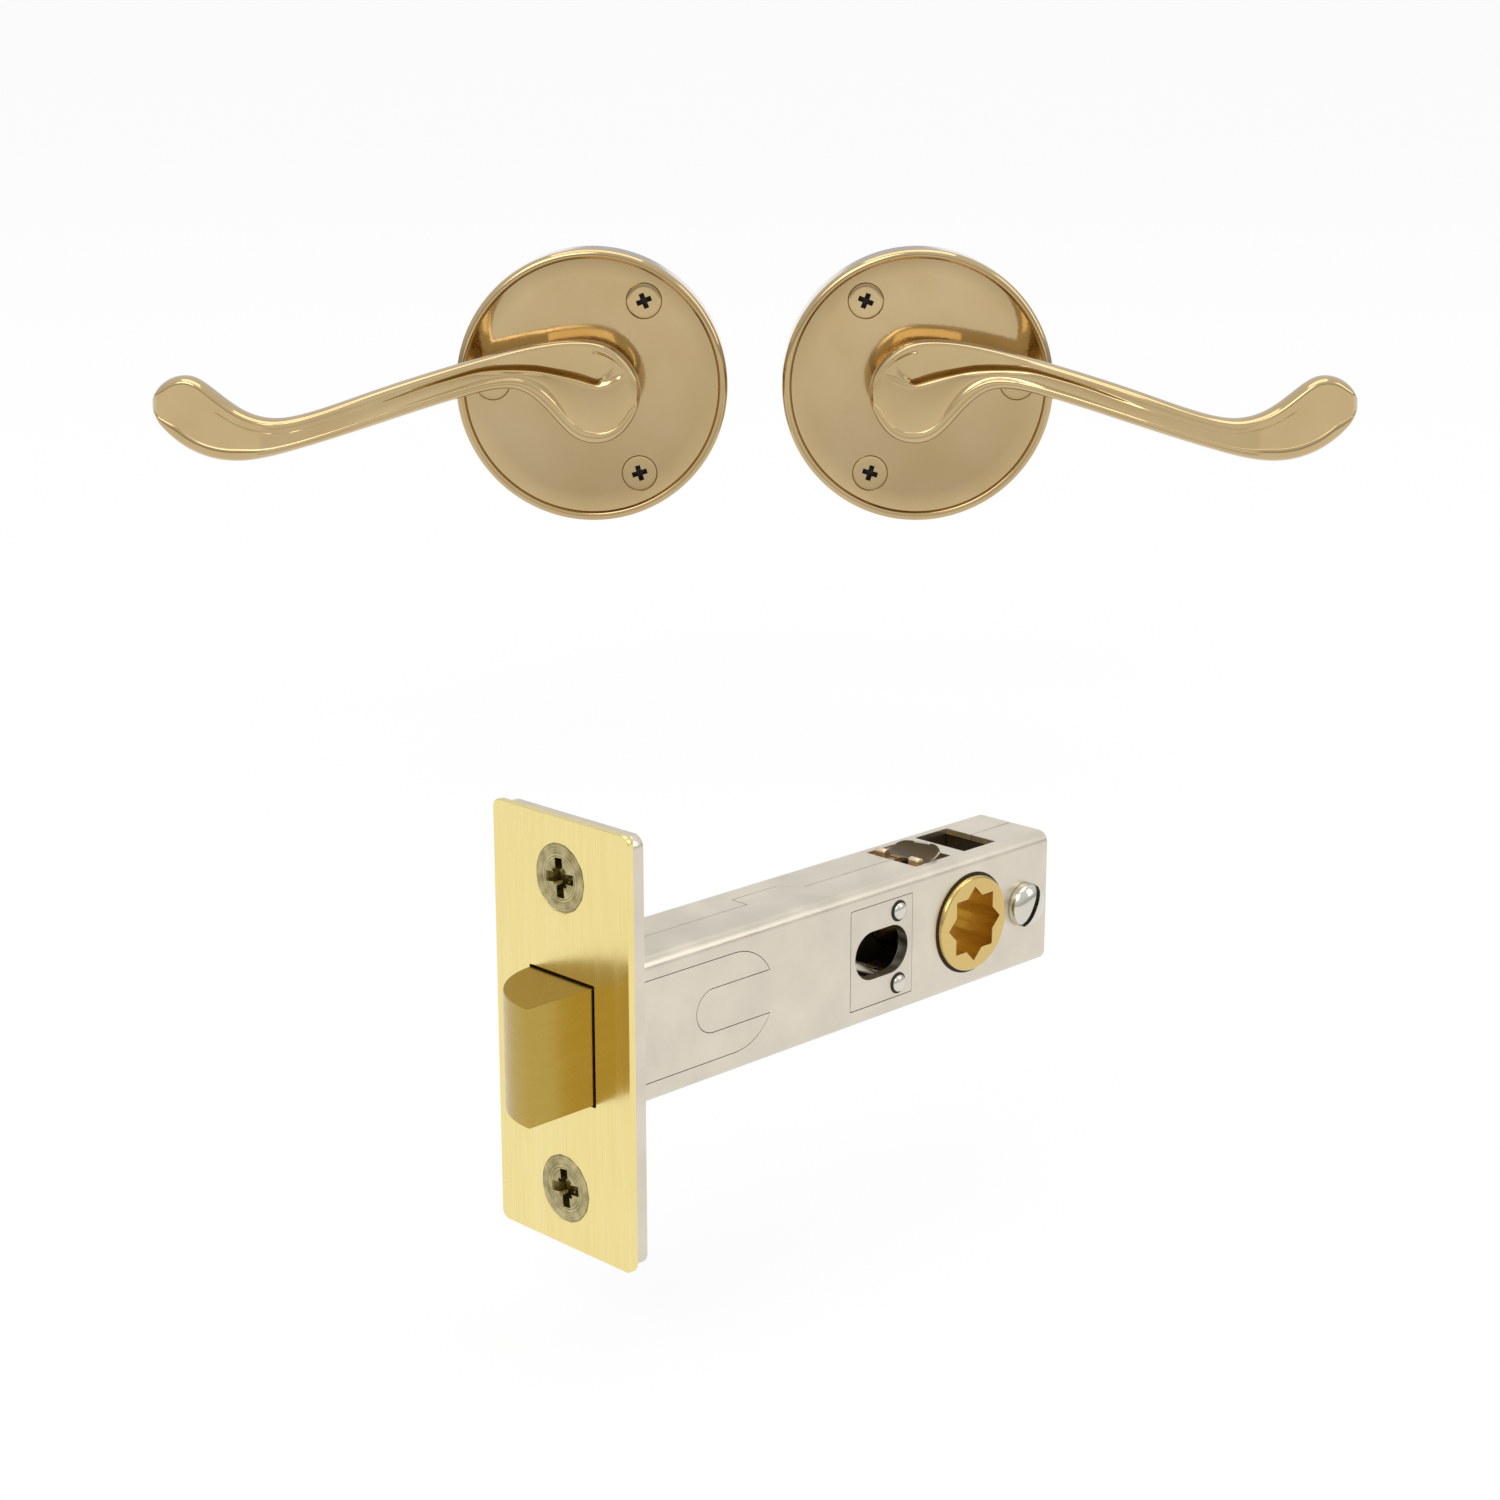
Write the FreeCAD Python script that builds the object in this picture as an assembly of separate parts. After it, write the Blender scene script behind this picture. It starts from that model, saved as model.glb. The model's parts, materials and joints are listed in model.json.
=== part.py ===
"""A passage handle set for an interior door: two handed scroll levers on round roses and a tubular latch.

Millimetres, +Z up. The origin is the middle of the forend's back face, which seats on the edge of the door,
and +X runs along the latch case into the door. The two roses stand upright behind the latch, side by side on
a plane that is turned from it. Each handle is drawn facing -Y about its own spindle axis and then placed.
"""
import FreeCAD, Part
import math
import os

V = FreeCAD.Vector
origin = V(0, 0, 0)

# Where the three things of the set stand
handle_turn = 45.0
left_rose_place = V(199.6, 218.7, 42.7)
rose_pitch = 72.0

# Rose, measured from the door face outwards
rose_radius = 30.0
rose_height = 10.0
bead_width = 2.2
field_depth = 8.2
field_thickness = 2.1
cove_width = 1.7
cavity_radius = 17.4
backing_thickness = 1.0
backing_sides = 8
rose_sides = 56

# Screws that fix a rose to the door
rose_screw_circle = 22.0
rose_screw_count = 3
first_rose_screw_angle = 58.0
rose_screw_head_radius = 3.8
rose_screw_shank_radius = 2.1
rose_screw_length = 25.0
rose_cross = {"span": 3.4, "width": 0.85, "depth": 1.6, "turn": 22.0}
screw_head_sides = 14
screw_neck_relief = 0.3
thread_start = -0.5
screw_play = 0.1
sink_margin = 0.25

# Bearing, driver, return spring and stops of the lever in the rose
neck_radius = 8.5
running_clearance = 0.06
easy_fit = 0.05
tail_radius = 7.4
tail_flat = 6.2
tail_end = 1.3
driver_inset = 2.2
ear_inset = 0.5
spring_inset = 5.4
driver_radius = cavity_radius - driver_inset
driver_sides = 12
driver_thickness = 0.9
driver_start = 2.35
driver_ear_radius = cavity_radius - ear_inset
driver_ear_half_angle = 12.0
driver_tab_half_angle = 4.0
stop_half_angle = 4.5
stop_gap_angle = 1.5
lever_swing = 60.0
wire_side = 0.7
coil_sides = 14
spring_radius = cavity_radius - spring_inset
spring_turns = 2
spring_leg = 2.6
spring_leg_angle = 250.0

# Spindle and the grub screw that grips it
spindle_side = 7.6
spindle_length = 95.0
socket_depth = 15.0
grub_radius = 2.0
grub_depth = 12.2
grub_key = 1.25

# Lever casting: outlines seen from the front, as (across, up) from the spindle axis, tip on the left
lever_reach = 92.0
arm_root = 14.0
inner_end = (11.3, 0.4)
tip_end = (-92.0, -0.4)
top_outline = [(-91.2, 2.0), (-89.0, 4.3), (-85.5, 5.7), (-82.0, 5.2), (-78.0, 2.4), (-73.0, -1.2),
               (-66.0, -3.2), (-58.0, -1.9), (-45.0, 2.2), (-27.0, 7.3), (-12.0, 10.9), (-3.0, 11.9),
               (3.8, 11.0), (8.2, 7.8), (10.6, 4.0)]
bottom_outline = [(-91.4, -2.8), (-89.0, -6.2), (-84.5, -9.7), (-78.5, -11.9), (-72.0, -12.2),
                  (-62.0, -10.1), (-45.0, -5.2), (-27.0, -0.1), (-19.5, 1.4), (-13.5, 0.5),
                  (-9.0, -3.4), (-4.5, -8.3), (1.5, -10.6), (6.5, -9.0), (10.0, -4.6)]
valley_line = [(-92.0, -0.9), (-84.0, -2.5), (-72.0, -6.8), (-60.0, -5.2), (-45.0, -1.1), (-27.0, 4.1),
               (-19.0, 5.8), (-12.0, 5.8), (-4.0, 4.9), (1.5, 3.9), (6.0, 5.2), (11.3, 4.6)]
crease_line = [(-92.0, 36.0), (-80.0, 38.0), (-62.0, 38.0), (-45.0, 34.5), (-28.0, 29.0), (-12.0, 25.6),
               (0.0, 25.0), (11.3, 25.0)]
lower_band_width = 2.3
upper_band_width = 1.3
band_depth = 3.0
back_depth = 6.3
step_start = -52.0
step_full = -10.0
step_depth = 1.3
step_width = 1.9
least_step = 0.2
section_count = 22
end_margin = 0.07
band_sides = 2
back_sides = 6
neck_sunk = 3.5

# Latch: every distance along it is measured from the cover's front face, those called ahead or behind from the
# hub's axis, and the height of the case is what the hub and its lugs need
backset = 70.0
spindle_play = 0.1
hub_square_side = spindle_side + spindle_play
hub_ring_width = 2.65
hub_radius = hub_square_side / 2 + hub_ring_width + 0.4
hub_body_radius = hub_square_side / 2 + hub_ring_width
lug_rise = 2.0
lug_headroom = 0.3
hub_lug_radius = hub_body_radius + lug_rise
case_wall = 0.9
case_height = 2 * (hub_lug_radius + lug_headroom + case_wall)

# Latch: cover, forend and plate screws
cover_height = 57.0
cover_width = 25.0
cover_thickness = 1.0
cover_corner = 1.2
forend_height = 56.2
forend_width = 24.4
forend_thickness = 1.9
forend_corner = 1.6
plate_screw_pitch = 41.3
plate_screw_head_radius = 4.3
plate_screw_shank_radius = 2.0
plate_screw_length = 13.0
plate_cross = {"span": 5.2, "width": 1.1, "depth": 1.5, "turn": 8.0}

# Latch: bolt and what draws it back
bolt_headroom = 1.05
bolt_height = case_height - 2 * case_wall - 2 * bolt_headroom
bolt_width = 11.6
bolt_projection = 10.6
bolt_tail = 14.0
bolt_clearance = 0.25
bolt_travel = 10.2
bolt_pin_radius = 1.2
bolt_pin_from_front = 9.5
strip_start = 4.5
strip_half_thickness = 1.0
strip_half_height = 2.5
spring_seat_start = 31.0
spring_seat_thickness = 1.6
bolt_spring_radius = 4.6
bolt_wire_side = 1.0
bolt_spring_turns = 5
fork_web_start = 33.2
fork_web_end = 35.6
rail_gap = 0.35
rail_height = 0.95
rail_inner = hub_body_radius + rail_gap
rail_outer = rail_inner + rail_height
rail_end_ahead = 9.5
rail_end = backset - rail_end_ahead
retractor_thickness = 0.8
retractor_ahead = (13.0, 1.8)
retractor_start = backset - retractor_ahead[0]
retractor_end = backset - retractor_ahead[1]
retractor_half_width = 4.8
push_face_ahead = 3.0
push_face = backset - push_face_ahead
lug_room = 0.3

# Latch: case and the openings in it
case_thickness = 13.8
case_corner = 1.6
inner_bevel = 0.6
case_behind = 16.8
case_length = backset + case_behind
case_seat = 0.5
seam_gap = 0.12
dovetail_start = 32.6
dovetail_end = 41.0
dovetail_depth = 2.8
dovetail_slope = 2.4
window_half_width = 4.6
cage_window_ahead = (9.1, 1.8)
cage_window = (backset - cage_window_ahead[0], backset - cage_window_ahead[1])
end_window_behind = (1.1, 7.9)
end_window = (backset + end_window_behind[0], backset + end_window_behind[1])

# Latch: tongues of the forend, let into the sides of the case
tongue_length = 30.0
tongue_margin = 2.9
tongue_height = case_height - 2 * tongue_margin
tongue_straight = 23.7
fork_notch_height = 6.0
fork_notch_tip = 16.7

# Latch: hub, guide plates and rivets
hub_proud = 0.9
hub_hole_clearance = 0.1
hub_body_half_width = 5.6
hub_lug_half_width = 0.9
hub_lug_half_thickness = 1.2
hub_lug_lean = 31.0
hub_swing = 60.0
insert_ahead = (24.5, 12.2)
insert_start = backset - insert_ahead[0]
insert_end = backset - insert_ahead[1]
insert_margin = 2.6
insert_height = case_height - 2 * insert_margin
insert_flange = 1.0
insert_flange_thickness = 0.8
slot_ahead = (23.6, 13.1)
slot_start = backset - slot_ahead[0]
slot_end = backset - slot_ahead[1]
slot_height = 6.8
rivet_ahead = 15.0
rivet_from_front = backset - rivet_ahead
rivet_offset = 5.2
rivet_radius = 1.2
rivet_proud = 0.8

# Latch: cage and leaf in the first window, end plug and its screw
cage_ahead = (10.7, 8.7, 1.2)
cage_start, cage_bridge_end, cage_end = [backset - ahead for ahead in cage_ahead]
cage_thickness = 0.7
cage_half_width = 5.2
cage_slot_half_width = 1.6
cage_tab_ahead = 8.0
cage_tab_start = backset - cage_tab_ahead
cage_tab_thickness = 1.2
cage_tab_half_width = 0.9
cage_tab_offset = 3.1
cage_tab_proud = 0.6
leaf_ahead = 6.1
leaf_start = backset - leaf_ahead
leaf_thickness = 0.6
leaf_rise = 2.3
leaf_reach = 3.6
leaf_half_width = 4.1
leaf_corner = 1.6
end_plug_length = 7.4
end_plug_start = case_length - end_plug_length
end_plug_recess = 0.2
end_screw_from_end = 5.2
end_screw_from_front = case_length - end_screw_from_end
end_screw_radius = 2.0
end_screw_head_radius = 3.2
end_screw_head_height = 2.3
end_screw_slot = 0.9
end_screw_length = 9.0

plate_stack = cover_thickness + forend_thickness
case_side = case_thickness / 2
case_top = case_height / 2
inner_side = case_side - case_wall
inner_top = case_top - case_wall
field_underside = field_depth - field_thickness


def from_front(distance):
    """The x of something that is measured from the cover's front face."""
    return distance - plate_stack


hub_x = from_front(backset)


# Outlines and simple solids

def outline(start, steps, place):
    """A closed wire. A step is its end point, or a pair: a point on the arc and the arc's end."""
    edges = []
    here = start
    for step in list(steps) + [start]:
        if isinstance(step[0], tuple):
            through, end = step
            edges.append(Part.Arc(place(here), place(through), place(end)).toShape())
        else:
            end = step
            if math.dist(here, end) > 1e-7:
                edges.append(Part.LineSegment(place(here), place(end)).toShape())
        here = end
    return Part.Wire(edges)


def on_section(point):
    """A (radius, depth) point of a turned piece, in a plane through the spindle axis."""
    return V(point[0], -point[1], 0)


def on_elevation(point):
    """An (along, up) point in the middle plane y = 0."""
    return V(point[0], 0, point[1])


def on_plan(point):
    """An (along, across) point in the level plane z = 0."""
    return V(point[0], point[1], 0)


def on_end_view(point):
    """An (across, up) point in the plane x = 0."""
    return V(0, point[0], point[1])


def turned(start, steps):
    """A solid turned about the spindle axis."""
    return Part.Face(outline(start, steps, on_section)).revolve(origin, V(0, 1, 0), 360)


def closed_solid(faces):
    """The solid inside flat faces that meet edge to edge."""
    shell = Part.makeShell(faces)
    shell.sewShape()
    solid = Part.makeSolid(shell)
    if solid.Volume < 0:
        solid.reverse()
    return solid


def flat_turned(profile, sides):
    """A turned piece with flat sides, from a closed list of (radius, depth) points."""
    faces = []
    for i in range(sides):
        for inner, outer in zip(profile, profile[1:] + profile[:1]):
            corners = []
            for (radius, depth), step in ((inner, i), (outer, i), (outer, i + 1), (inner, i + 1)):
                x, z = ring_point(radius, 360 * (step % sides) / sides)
                corner = V(x, -depth, z)
                if all(corner.distanceToPoint(other) > 1e-6 for other in corners):
                    corners.append(corner)
            if len(corners) > 2:
                faces.append(Part.Face(Part.makePolygon(corners + [corners[0]])))
    return closed_solid(faces)


def skinned(sections):
    """The solid that joins closed rows of corners, one row to the next, by flat triangles."""
    faces = [Part.Face(Part.makePolygon(row + [row[0]])) for row in (sections[0], sections[-1])]
    for near, far in zip(sections, sections[1:]):
        for i in range(len(near)):
            j = (i + 1) % len(near)
            if near[i].distanceToPoint(far[j]) < near[j].distanceToPoint(far[i]):
                halves = ((near[i], near[j], far[j]), (near[i], far[j], far[i]))
            else:
                halves = ((near[i], near[j], far[i]), (near[j], far[j], far[i]))
            faces += [Part.Face(Part.makePolygon(list(half) + [half[0]])) for half in halves]
    return closed_solid(faces)


def across(start, steps, low, high):
    """A prism from y = low to y = high."""
    face = Part.Face(outline(start, steps, on_elevation))
    face.translate(V(0, low, 0))
    return face.extrude(V(0, high - low, 0))


def upright(start, steps, low, high):
    """A prism from z = low to z = high."""
    face = Part.Face(outline(start, steps, on_plan))
    face.translate(V(0, 0, low))
    return face.extrude(V(0, 0, high - low))


def block(x, y, z):
    """A box between three pairs of limits."""
    return Part.makeBox(x[1] - x[0], y[1] - y[0], z[1] - z[0], V(x[0], y[0], z[0]))


def rounded_bar(width, height, corner, low, high):
    """A bar along x with rounded long edges, width across and height up."""
    a = width / 2
    b = height / 2
    r = corner
    k = r * (1 - math.sqrt(0.5))
    steps = [(a - r, -b), ((a - k, -b + k), (a, -b + r)), (a, b - r), ((a - k, b - k), (a - r, b)),
             (-a + r, b), ((-a + k, b - k), (-a, b - r)), (-a, -b + r), ((-a + k, -b + k), (-a + r, -b))]
    return along_latch((-a + r, -b), steps, low, high)


def bevelled_bar(width, height, bevel, low, high):
    """A bar along x with bevelled long edges, width across and height up."""
    a = width / 2
    b = height / 2
    steps = [(a - bevel, -b), (a, -b + bevel), (a, b - bevel), (a - bevel, b),
             (-a + bevel, b), (-a, b - bevel), (-a, -b + bevel)]
    return along_latch((-a + bevel, -b), steps, low, high)


def along_latch(start, steps, low, high):
    """A prism along x, from an outline drawn across the latch."""
    face = Part.Face(outline(start, steps, on_end_view))
    face.translate(V(low, 0, 0))
    return face.extrude(V(high - low, 0, 0))


def rod_y(radius, low, high, x=0.0, z=0.0):
    """A round bar along y."""
    return Part.makeCylinder(radius, high - low, V(x, low, z), V(0, 1, 0))


def ring_point(radius, degrees):
    """The (across, up) point at this radius and angle, 90 degrees being up."""
    turn = math.radians(degrees)
    return (radius * math.cos(turn), radius * math.sin(turn))


def sector(radii, middle, half_angle, depths):
    """A block that follows a circle about the spindle axis, between two depths from the door face."""
    inner, outer = radii
    turns = (middle - half_angle, middle, middle + half_angle)
    points = [ring_point(outer, t) for t in turns] + [ring_point(inner, t) for t in reversed(turns)]
    return across(points[0], points[1:], -depths[1], -depths[0])


def many_sided(radius, sides, low, high):
    """A plate about the spindle axis with flat sides, between two depths."""
    points = [ring_point(radius, 360 * (i + 0.5) / sides) for i in range(sides)]
    return across(points[0], points[1:], -high, -low)


def clean(shape):
    """The single solid of a shape that was cut or joined."""
    shape = shape.removeSplitter()
    return shape.Solids[0] if len(shape.Solids) == 1 else shape


def square_coil(radius, side, start, pitch, turns):
    """A square wire wound in short straight runs about the spindle axis, its first side at the depth start."""
    sections = []
    for i in range(turns * coil_sides + 1):
        depth = start + pitch * i / coil_sides
        corners = []
        for r, d in ((radius - side / 2, 0), (radius + side / 2, 0), (radius + side / 2, side), (radius - side / 2, side)):
            x, z = ring_point(r, 360 * i / coil_sides)
            corners.append(V(x, -depth - d, z))
        sections.append(corners)
    return skinned(sections)


def square_bar(side, low, high):
    """A square bar along y, flats level, between two depths."""
    return block((-side / 2, side / 2), (-high, -low), (-side / 2, side / 2))


def facing_latch(shape):
    """Turns a piece drawn along the spindle axis to lie along the latch, facing -X."""
    shape.rotate(origin, V(0, 0, 1), -90)
    return shape


# Screws

def cross_recess(cross, face):
    """The cross that a driver fits, sunk into a head whose top is at the depth face."""
    half = cross["span"] / 2
    thin = cross["width"] / 2
    arms = []
    for extra in (0, 90):
        arm = block((-half, half), (-face - 1, -face + cross["depth"]), (-thin, thin))
        arm.rotate(origin, V(0, 1, 0), cross["turn"] + extra)
        arms.append(arm)
    return arms[0].fuse(arms[1])


def sunk_screw(head, shank, face, length, cross):
    """Countersunk screw, the top of its head at the depth face, its thread just behind the door face."""
    neck = shank - screw_neck_relief
    profile = [(0, thread_start - 1), (neck, thread_start - 1), (neck, face - (head - neck)), (head, face), (0, face)]
    shape = flat_turned(profile, screw_head_sides).fuse(rod_y(shank, -thread_start, length - face))
    return clean(shape.cut(cross_recess(cross, face)))


def screw_hole(head, shank, face):
    """The clearance hole and countersink for such a screw, cut right through."""
    rim = head + sink_margin
    bore = shank + screw_play
    profile = [(0, -1), (bore, -1), (bore, face - (rim - bore)), (rim, face), (rim, face + 1), (0, face + 1)]
    return flat_turned(profile, screw_head_sides)


# Rose, backing plate and rose screws

def rose_screw_places():
    """The axes of the screws round the rose."""
    places = []
    for i in range(rose_screw_count):
        x, z = ring_point(rose_screw_circle, first_rose_screw_angle + i * 360 / rose_screw_count)
        places.append(V(x, 0, z))
    return places


def make_rose():
    """Casting with a raised rim, a cove, a flat field, a hollow back and two stops for the driver's ear."""
    bore = neck_radius + running_clearance
    rim_inside = rose_radius - bead_width
    profile = [
        (cavity_radius + 1, field_depth),
        (rim_inside - cove_width, field_depth),
        (rim_inside, field_depth + 0.3 * (rose_height - field_depth)),
        (rim_inside + 0.35 * bead_width, rose_height),
        (rose_radius - 0.3 * bead_width, rose_height),
        (rose_radius, rose_height - 0.4 * bead_width),
        (rose_radius, 0),
        (cavity_radius + 1, 0),
    ]
    inside = [(bore, field_depth), (cavity_radius + 2, field_depth), (cavity_radius + 2, 0), (cavity_radius, 0),
              (cavity_radius, field_underside)]
    shape = flat_turned(profile, rose_sides).fuse(turned((bore, field_underside), inside))
    hole = screw_hole(rose_screw_head_radius, rose_screw_shank_radius, field_depth)
    for place in rose_screw_places():
        shape = shape.cut(hole.translated(place))
    depths = (driver_start - 0.4, driver_start + driver_thickness + 0.4)
    radii = (driver_radius + 0.4, cavity_radius + 0.3)
    lead = driver_ear_half_angle + stop_gap_angle + stop_half_angle
    for angle in (90 - lead, 90 + lead + lever_swing):
        shape = shape.fuse(sector(radii, angle, stop_half_angle, depths))
    return clean(shape)


def make_rose_screws():
    screw = sunk_screw(rose_screw_head_radius, rose_screw_shank_radius, field_depth,
                       rose_screw_length, rose_cross)
    return Part.Compound([screw.translated(place) for place in rose_screw_places()])


def make_backing_plate():
    """Steel plate pressed into the back of the rose, with a hole that the spindle turns in."""
    plate = many_sided(cavity_radius - easy_fit, backing_sides, 0, backing_thickness)
    return plate.cut(rod_y(spindle_side * math.sqrt(0.5) + 1.0, -backing_thickness - 1, 1))


# Driver and spring

def tail_bar(grow, low, high):
    """The flatted tail of the lever, made larger all round by grow."""
    bar = rod_y(tail_radius + grow, -high, -low)
    half = tail_flat + grow
    return bar.common(block((-half, half), (-high, -low), (-tail_radius - 1, tail_radius + 1)))


def spring_start():
    return driver_start + driver_thickness + easy_fit


def make_driver():
    """Stamped plate on the lever's tail, with an ear for the stops and a tab for the spring."""
    low = driver_start
    high = driver_start + driver_thickness
    plate = many_sided(driver_radius, driver_sides, low, high)
    ear = sector((driver_radius - 2, driver_ear_radius), 90, driver_ear_half_angle, (low, high))
    leg_half_angle = math.degrees(wire_side / 2 / spring_radius)
    tab_angle = spring_leg_angle - leg_half_angle - driver_tab_half_angle
    tab_radii = (spring_radius + wire_side / 2 + running_clearance, driver_radius)
    tab = sector(tab_radii, tab_angle, driver_tab_half_angle, (low, high + wire_side))
    return clean(plate.fuse(ear).fuse(tab).cut(tail_bar(easy_fit, low - 1, high + 1)))


def make_return_spring():
    """Two turns of square wire, with a leg at each end."""
    pitch = wire_side + easy_fit / 2
    coil = square_coil(spring_radius, wire_side, spring_start(), pitch, spring_turns)
    half = wire_side / 2
    for i in (0, spring_turns):
        low = spring_start() + i * pitch
        leg = block((spring_radius, spring_radius + spring_leg), (-low - wire_side, -low), (-half, half))
        coil = coil.fuse(leg)
    coil.rotate(origin, V(0, 1, 0), -spring_leg_angle)
    return clean(coil)


# Lever, spindle and grub screw

def stretched(x):
    """Where a drawn point of the arm falls when the reach is changed; the lobe at the rose stays."""
    if x > -arm_root:
        return x
    drawn_reach = -tip_end[0]
    return -arm_root + (x + arm_root) * (lever_reach - arm_root) / (drawn_reach - arm_root)


def along(x):
    """How far a place is along the lever. The measure is stretched at both rounded ends."""
    share = (x + lever_reach) / (inner_end[0] + lever_reach)
    return 40 * math.acos(1 - 2 * min(1.0, max(0.0, share)))


def drawn_curve(points):
    """A smooth curve through drawn points, kept over the stretched measure."""
    curve = Part.BSplineCurve()
    curve.interpolate([V(along(stretched(x)), 0, z) for x, z in points])
    return curve


def height_at(curve, x):
    """The height of the curve at x."""
    wanted = along(x)
    low = curve.FirstParameter
    high = curve.LastParameter
    for _ in range(36):
        middle = (low + high) / 2
        if curve.value(middle).x < wanted:
            low = middle
        else:
            high = middle
    return curve.value(low).z


def smooth_share(value, zero, one):
    """Rises from 0 to 1 as value goes from zero to one, without a corner at either end."""
    share = min(1.0, max(0.0, (value - zero) / (one - zero)))
    return share * share * (3 - 2 * share)


def bent(poles, sides):
    """The corners, without the last, of a curve drawn with straight sides and pulled towards its middle poles."""
    curve = Part.BezierCurve()
    curve.setPoles(poles)
    return [curve.value(i / sides) for i in range(sides)]


def lever_section(x, curves):
    """One section of the lever: two rounded bands, two facets, the step between them, and the back."""
    top, bottom, valley, crease = curves
    low = height_at(bottom, x)
    high = height_at(top, x)
    height = high - low
    widest = height_at(crease, x) - band_depth
    front = widest + min(band_depth, 0.38 * height)
    back = widest - min(back_depth, 0.47 * height)
    near = 0.25
    bands = []
    for curve, width in ((bottom, lower_band_width), (top, upper_band_width)):
        slope = (height_at(curve, x + near) - height_at(curve, x - near)) / (2 * near)
        bands.append(min(width * min(math.hypot(1, slope), 1.7), 0.27 * height))
    share = smooth_share(x, step_start, step_full) * smooth_share(x, inner_end[0], inner_end[0] / 2)
    facet_low = low + bands[0]
    facet_high = high - bands[1]
    room = facet_high - facet_low
    step_top = min(max(height_at(valley, x), facet_low + 0.4 * room), facet_high - 0.15 * room)
    step_foot = step_top - min(least_step + step_width * share, 0.5 * (step_top - facet_low))
    places = [(low, widest), (facet_low, front - 0.3 * step_depth * share),
              (step_foot, front - step_depth * share), (step_top, front), (facet_high, front), (high, widest)]
    corners = [V(x, -depth, z) for z, depth in places]
    lift = V(0, -0.55 * (front - widest), 0)
    full = V(0, (widest - back) * 4 / 3, 0)
    points = bent([corners[0], corners[0] + lift, corners[1]], band_sides)
    points += corners[1:4]
    points += bent([corners[4], corners[5] + lift, corners[5]], band_sides)
    points += bent([corners[5], corners[5] + full, corners[0] + full, corners[0]], back_sides)
    return points


def lever_stations():
    """Where the sections of the lever are taken, closer together towards its ends."""
    stations = []
    for i in range(section_count):
        angle = end_margin + (math.pi - 2 * end_margin) * i / (section_count - 1)
        stations.append(-lever_reach + (inner_end[0] + lever_reach) * (1 - math.cos(angle)) / 2)
    return stations


def make_lever():
    """Scroll lever lofted along its length, with its turned neck, flatted tail and square socket."""
    top = drawn_curve([tip_end] + top_outline + [inner_end])
    bottom = drawn_curve([tip_end] + bottom_outline + [inner_end])
    curves = (top, bottom, drawn_curve(valley_line), drawn_curve(crease_line))
    arm = skinned([lever_section(x, curves) for x in lever_stations()])
    lobe_back = crease_line[-2][1] - band_depth - back_depth
    shoulder = field_underside
    neck = rod_y(neck_radius, -lobe_back - neck_sunk, -shoulder)
    shape = arm.fuse(neck).fuse(tail_bar(0, tail_end, shoulder + 1))
    shape = shape.cut(square_bar(spindle_side + 2 * easy_fit, 0, tail_end + socket_depth))
    return clean(shape.cut(grub_bar(grub_radius, neck_radius + 1)))


def grub_bar(radius, low):
    """A bar from the spindle down to low, where the grub screw sits."""
    top = -spindle_side / 2 - easy_fit
    return Part.makeCylinder(radius, low + top, V(0, -grub_depth, top), V(0, 0, -1))


def make_grub_screw():
    """Socket set screw under the neck."""
    foot = neck_radius - 0.4
    screw = grub_bar(grub_radius - easy_fit / 2, foot)
    corners = [ring_point(grub_key, 60 * i) for i in range(6)]
    key = upright(corners[0], corners[1:], -foot - 1, -foot + 1.8)
    return clean(screw.cut(key.translated(V(0, -grub_depth, 0))))


def make_spindle():
    """Square bar that carries the turn of the levers through the hub."""
    high = tail_end + socket_depth - 0.3
    return square_bar(spindle_side, high - spindle_length, high)


# Latch: cover, forend and their screws

def plate_screw_places():
    return [V(0, 0, s * plate_screw_pitch / 2) for s in (1, -1)]


def bolt_mouth():
    """The opening of cover and forend that the bolt slides in."""
    half_width = bolt_width / 2 + bolt_clearance
    half_height = bolt_height / 2 + bolt_clearance
    return block((-plate_stack - 1, 1), (-half_width, half_width), (-half_height, half_height))


def pierced(plate):
    """A face plate with its bolt mouth and screw holes."""
    hole = facing_latch(screw_hole(plate_screw_head_radius, plate_screw_shank_radius, plate_stack))
    plate = plate.cut(bolt_mouth())
    for place in plate_screw_places():
        plate = plate.cut(hole.translated(place))
    return plate


def make_cover():
    """Polished brass cover plate."""
    return clean(pierced(rounded_bar(cover_width, cover_height, cover_corner, -plate_stack, -forend_thickness)))


def tongue_bar(grow, low, high):
    """The outline of a forked tongue, made larger all round by grow, across the latch."""
    start = -case_seat
    end = from_front(tongue_length) + grow
    straight = from_front(tongue_straight)
    half = tongue_height / 2 + grow
    notch = fork_notch_height / 2 - grow
    tip = from_front(fork_notch_tip) + grow
    shoulder = straight + (end - straight) * 0.66
    drop = half - (half - notch) * 0.36
    steps = [(straight, half), ((shoulder, drop), (end, notch)), (tip + notch, notch),
             ((tip, 0), (tip + notch, -notch)), (end, -notch), ((shoulder, -drop), (straight, -half)),
             (start, -half)]
    return across((start, half), steps, low, high)


def make_forend():
    """Steel forend with a forked tongue folded back along each side of the case."""
    plate = pierced(rounded_bar(forend_width, forend_height, forend_corner, -forend_thickness, 0))
    seat = rounded_bar(case_thickness + 2 * easy_fit, case_height + 2 * easy_fit, case_corner, -case_seat, 1)
    shape = plate.cut(seat)
    for low, high in ((-case_side, -inner_side), (inner_side, case_side)):
        shape = shape.fuse(tongue_bar(0, low, high))
    return clean(shape)


def make_plate_screws():
    screw = facing_latch(sunk_screw(plate_screw_head_radius, plate_screw_shank_radius, plate_stack,
                                    plate_screw_length, plate_cross))
    return Part.Compound([screw.translated(place) for place in plate_screw_places()])


# Latch: bolt, draw fork, retractors, spring and spring seat

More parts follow.
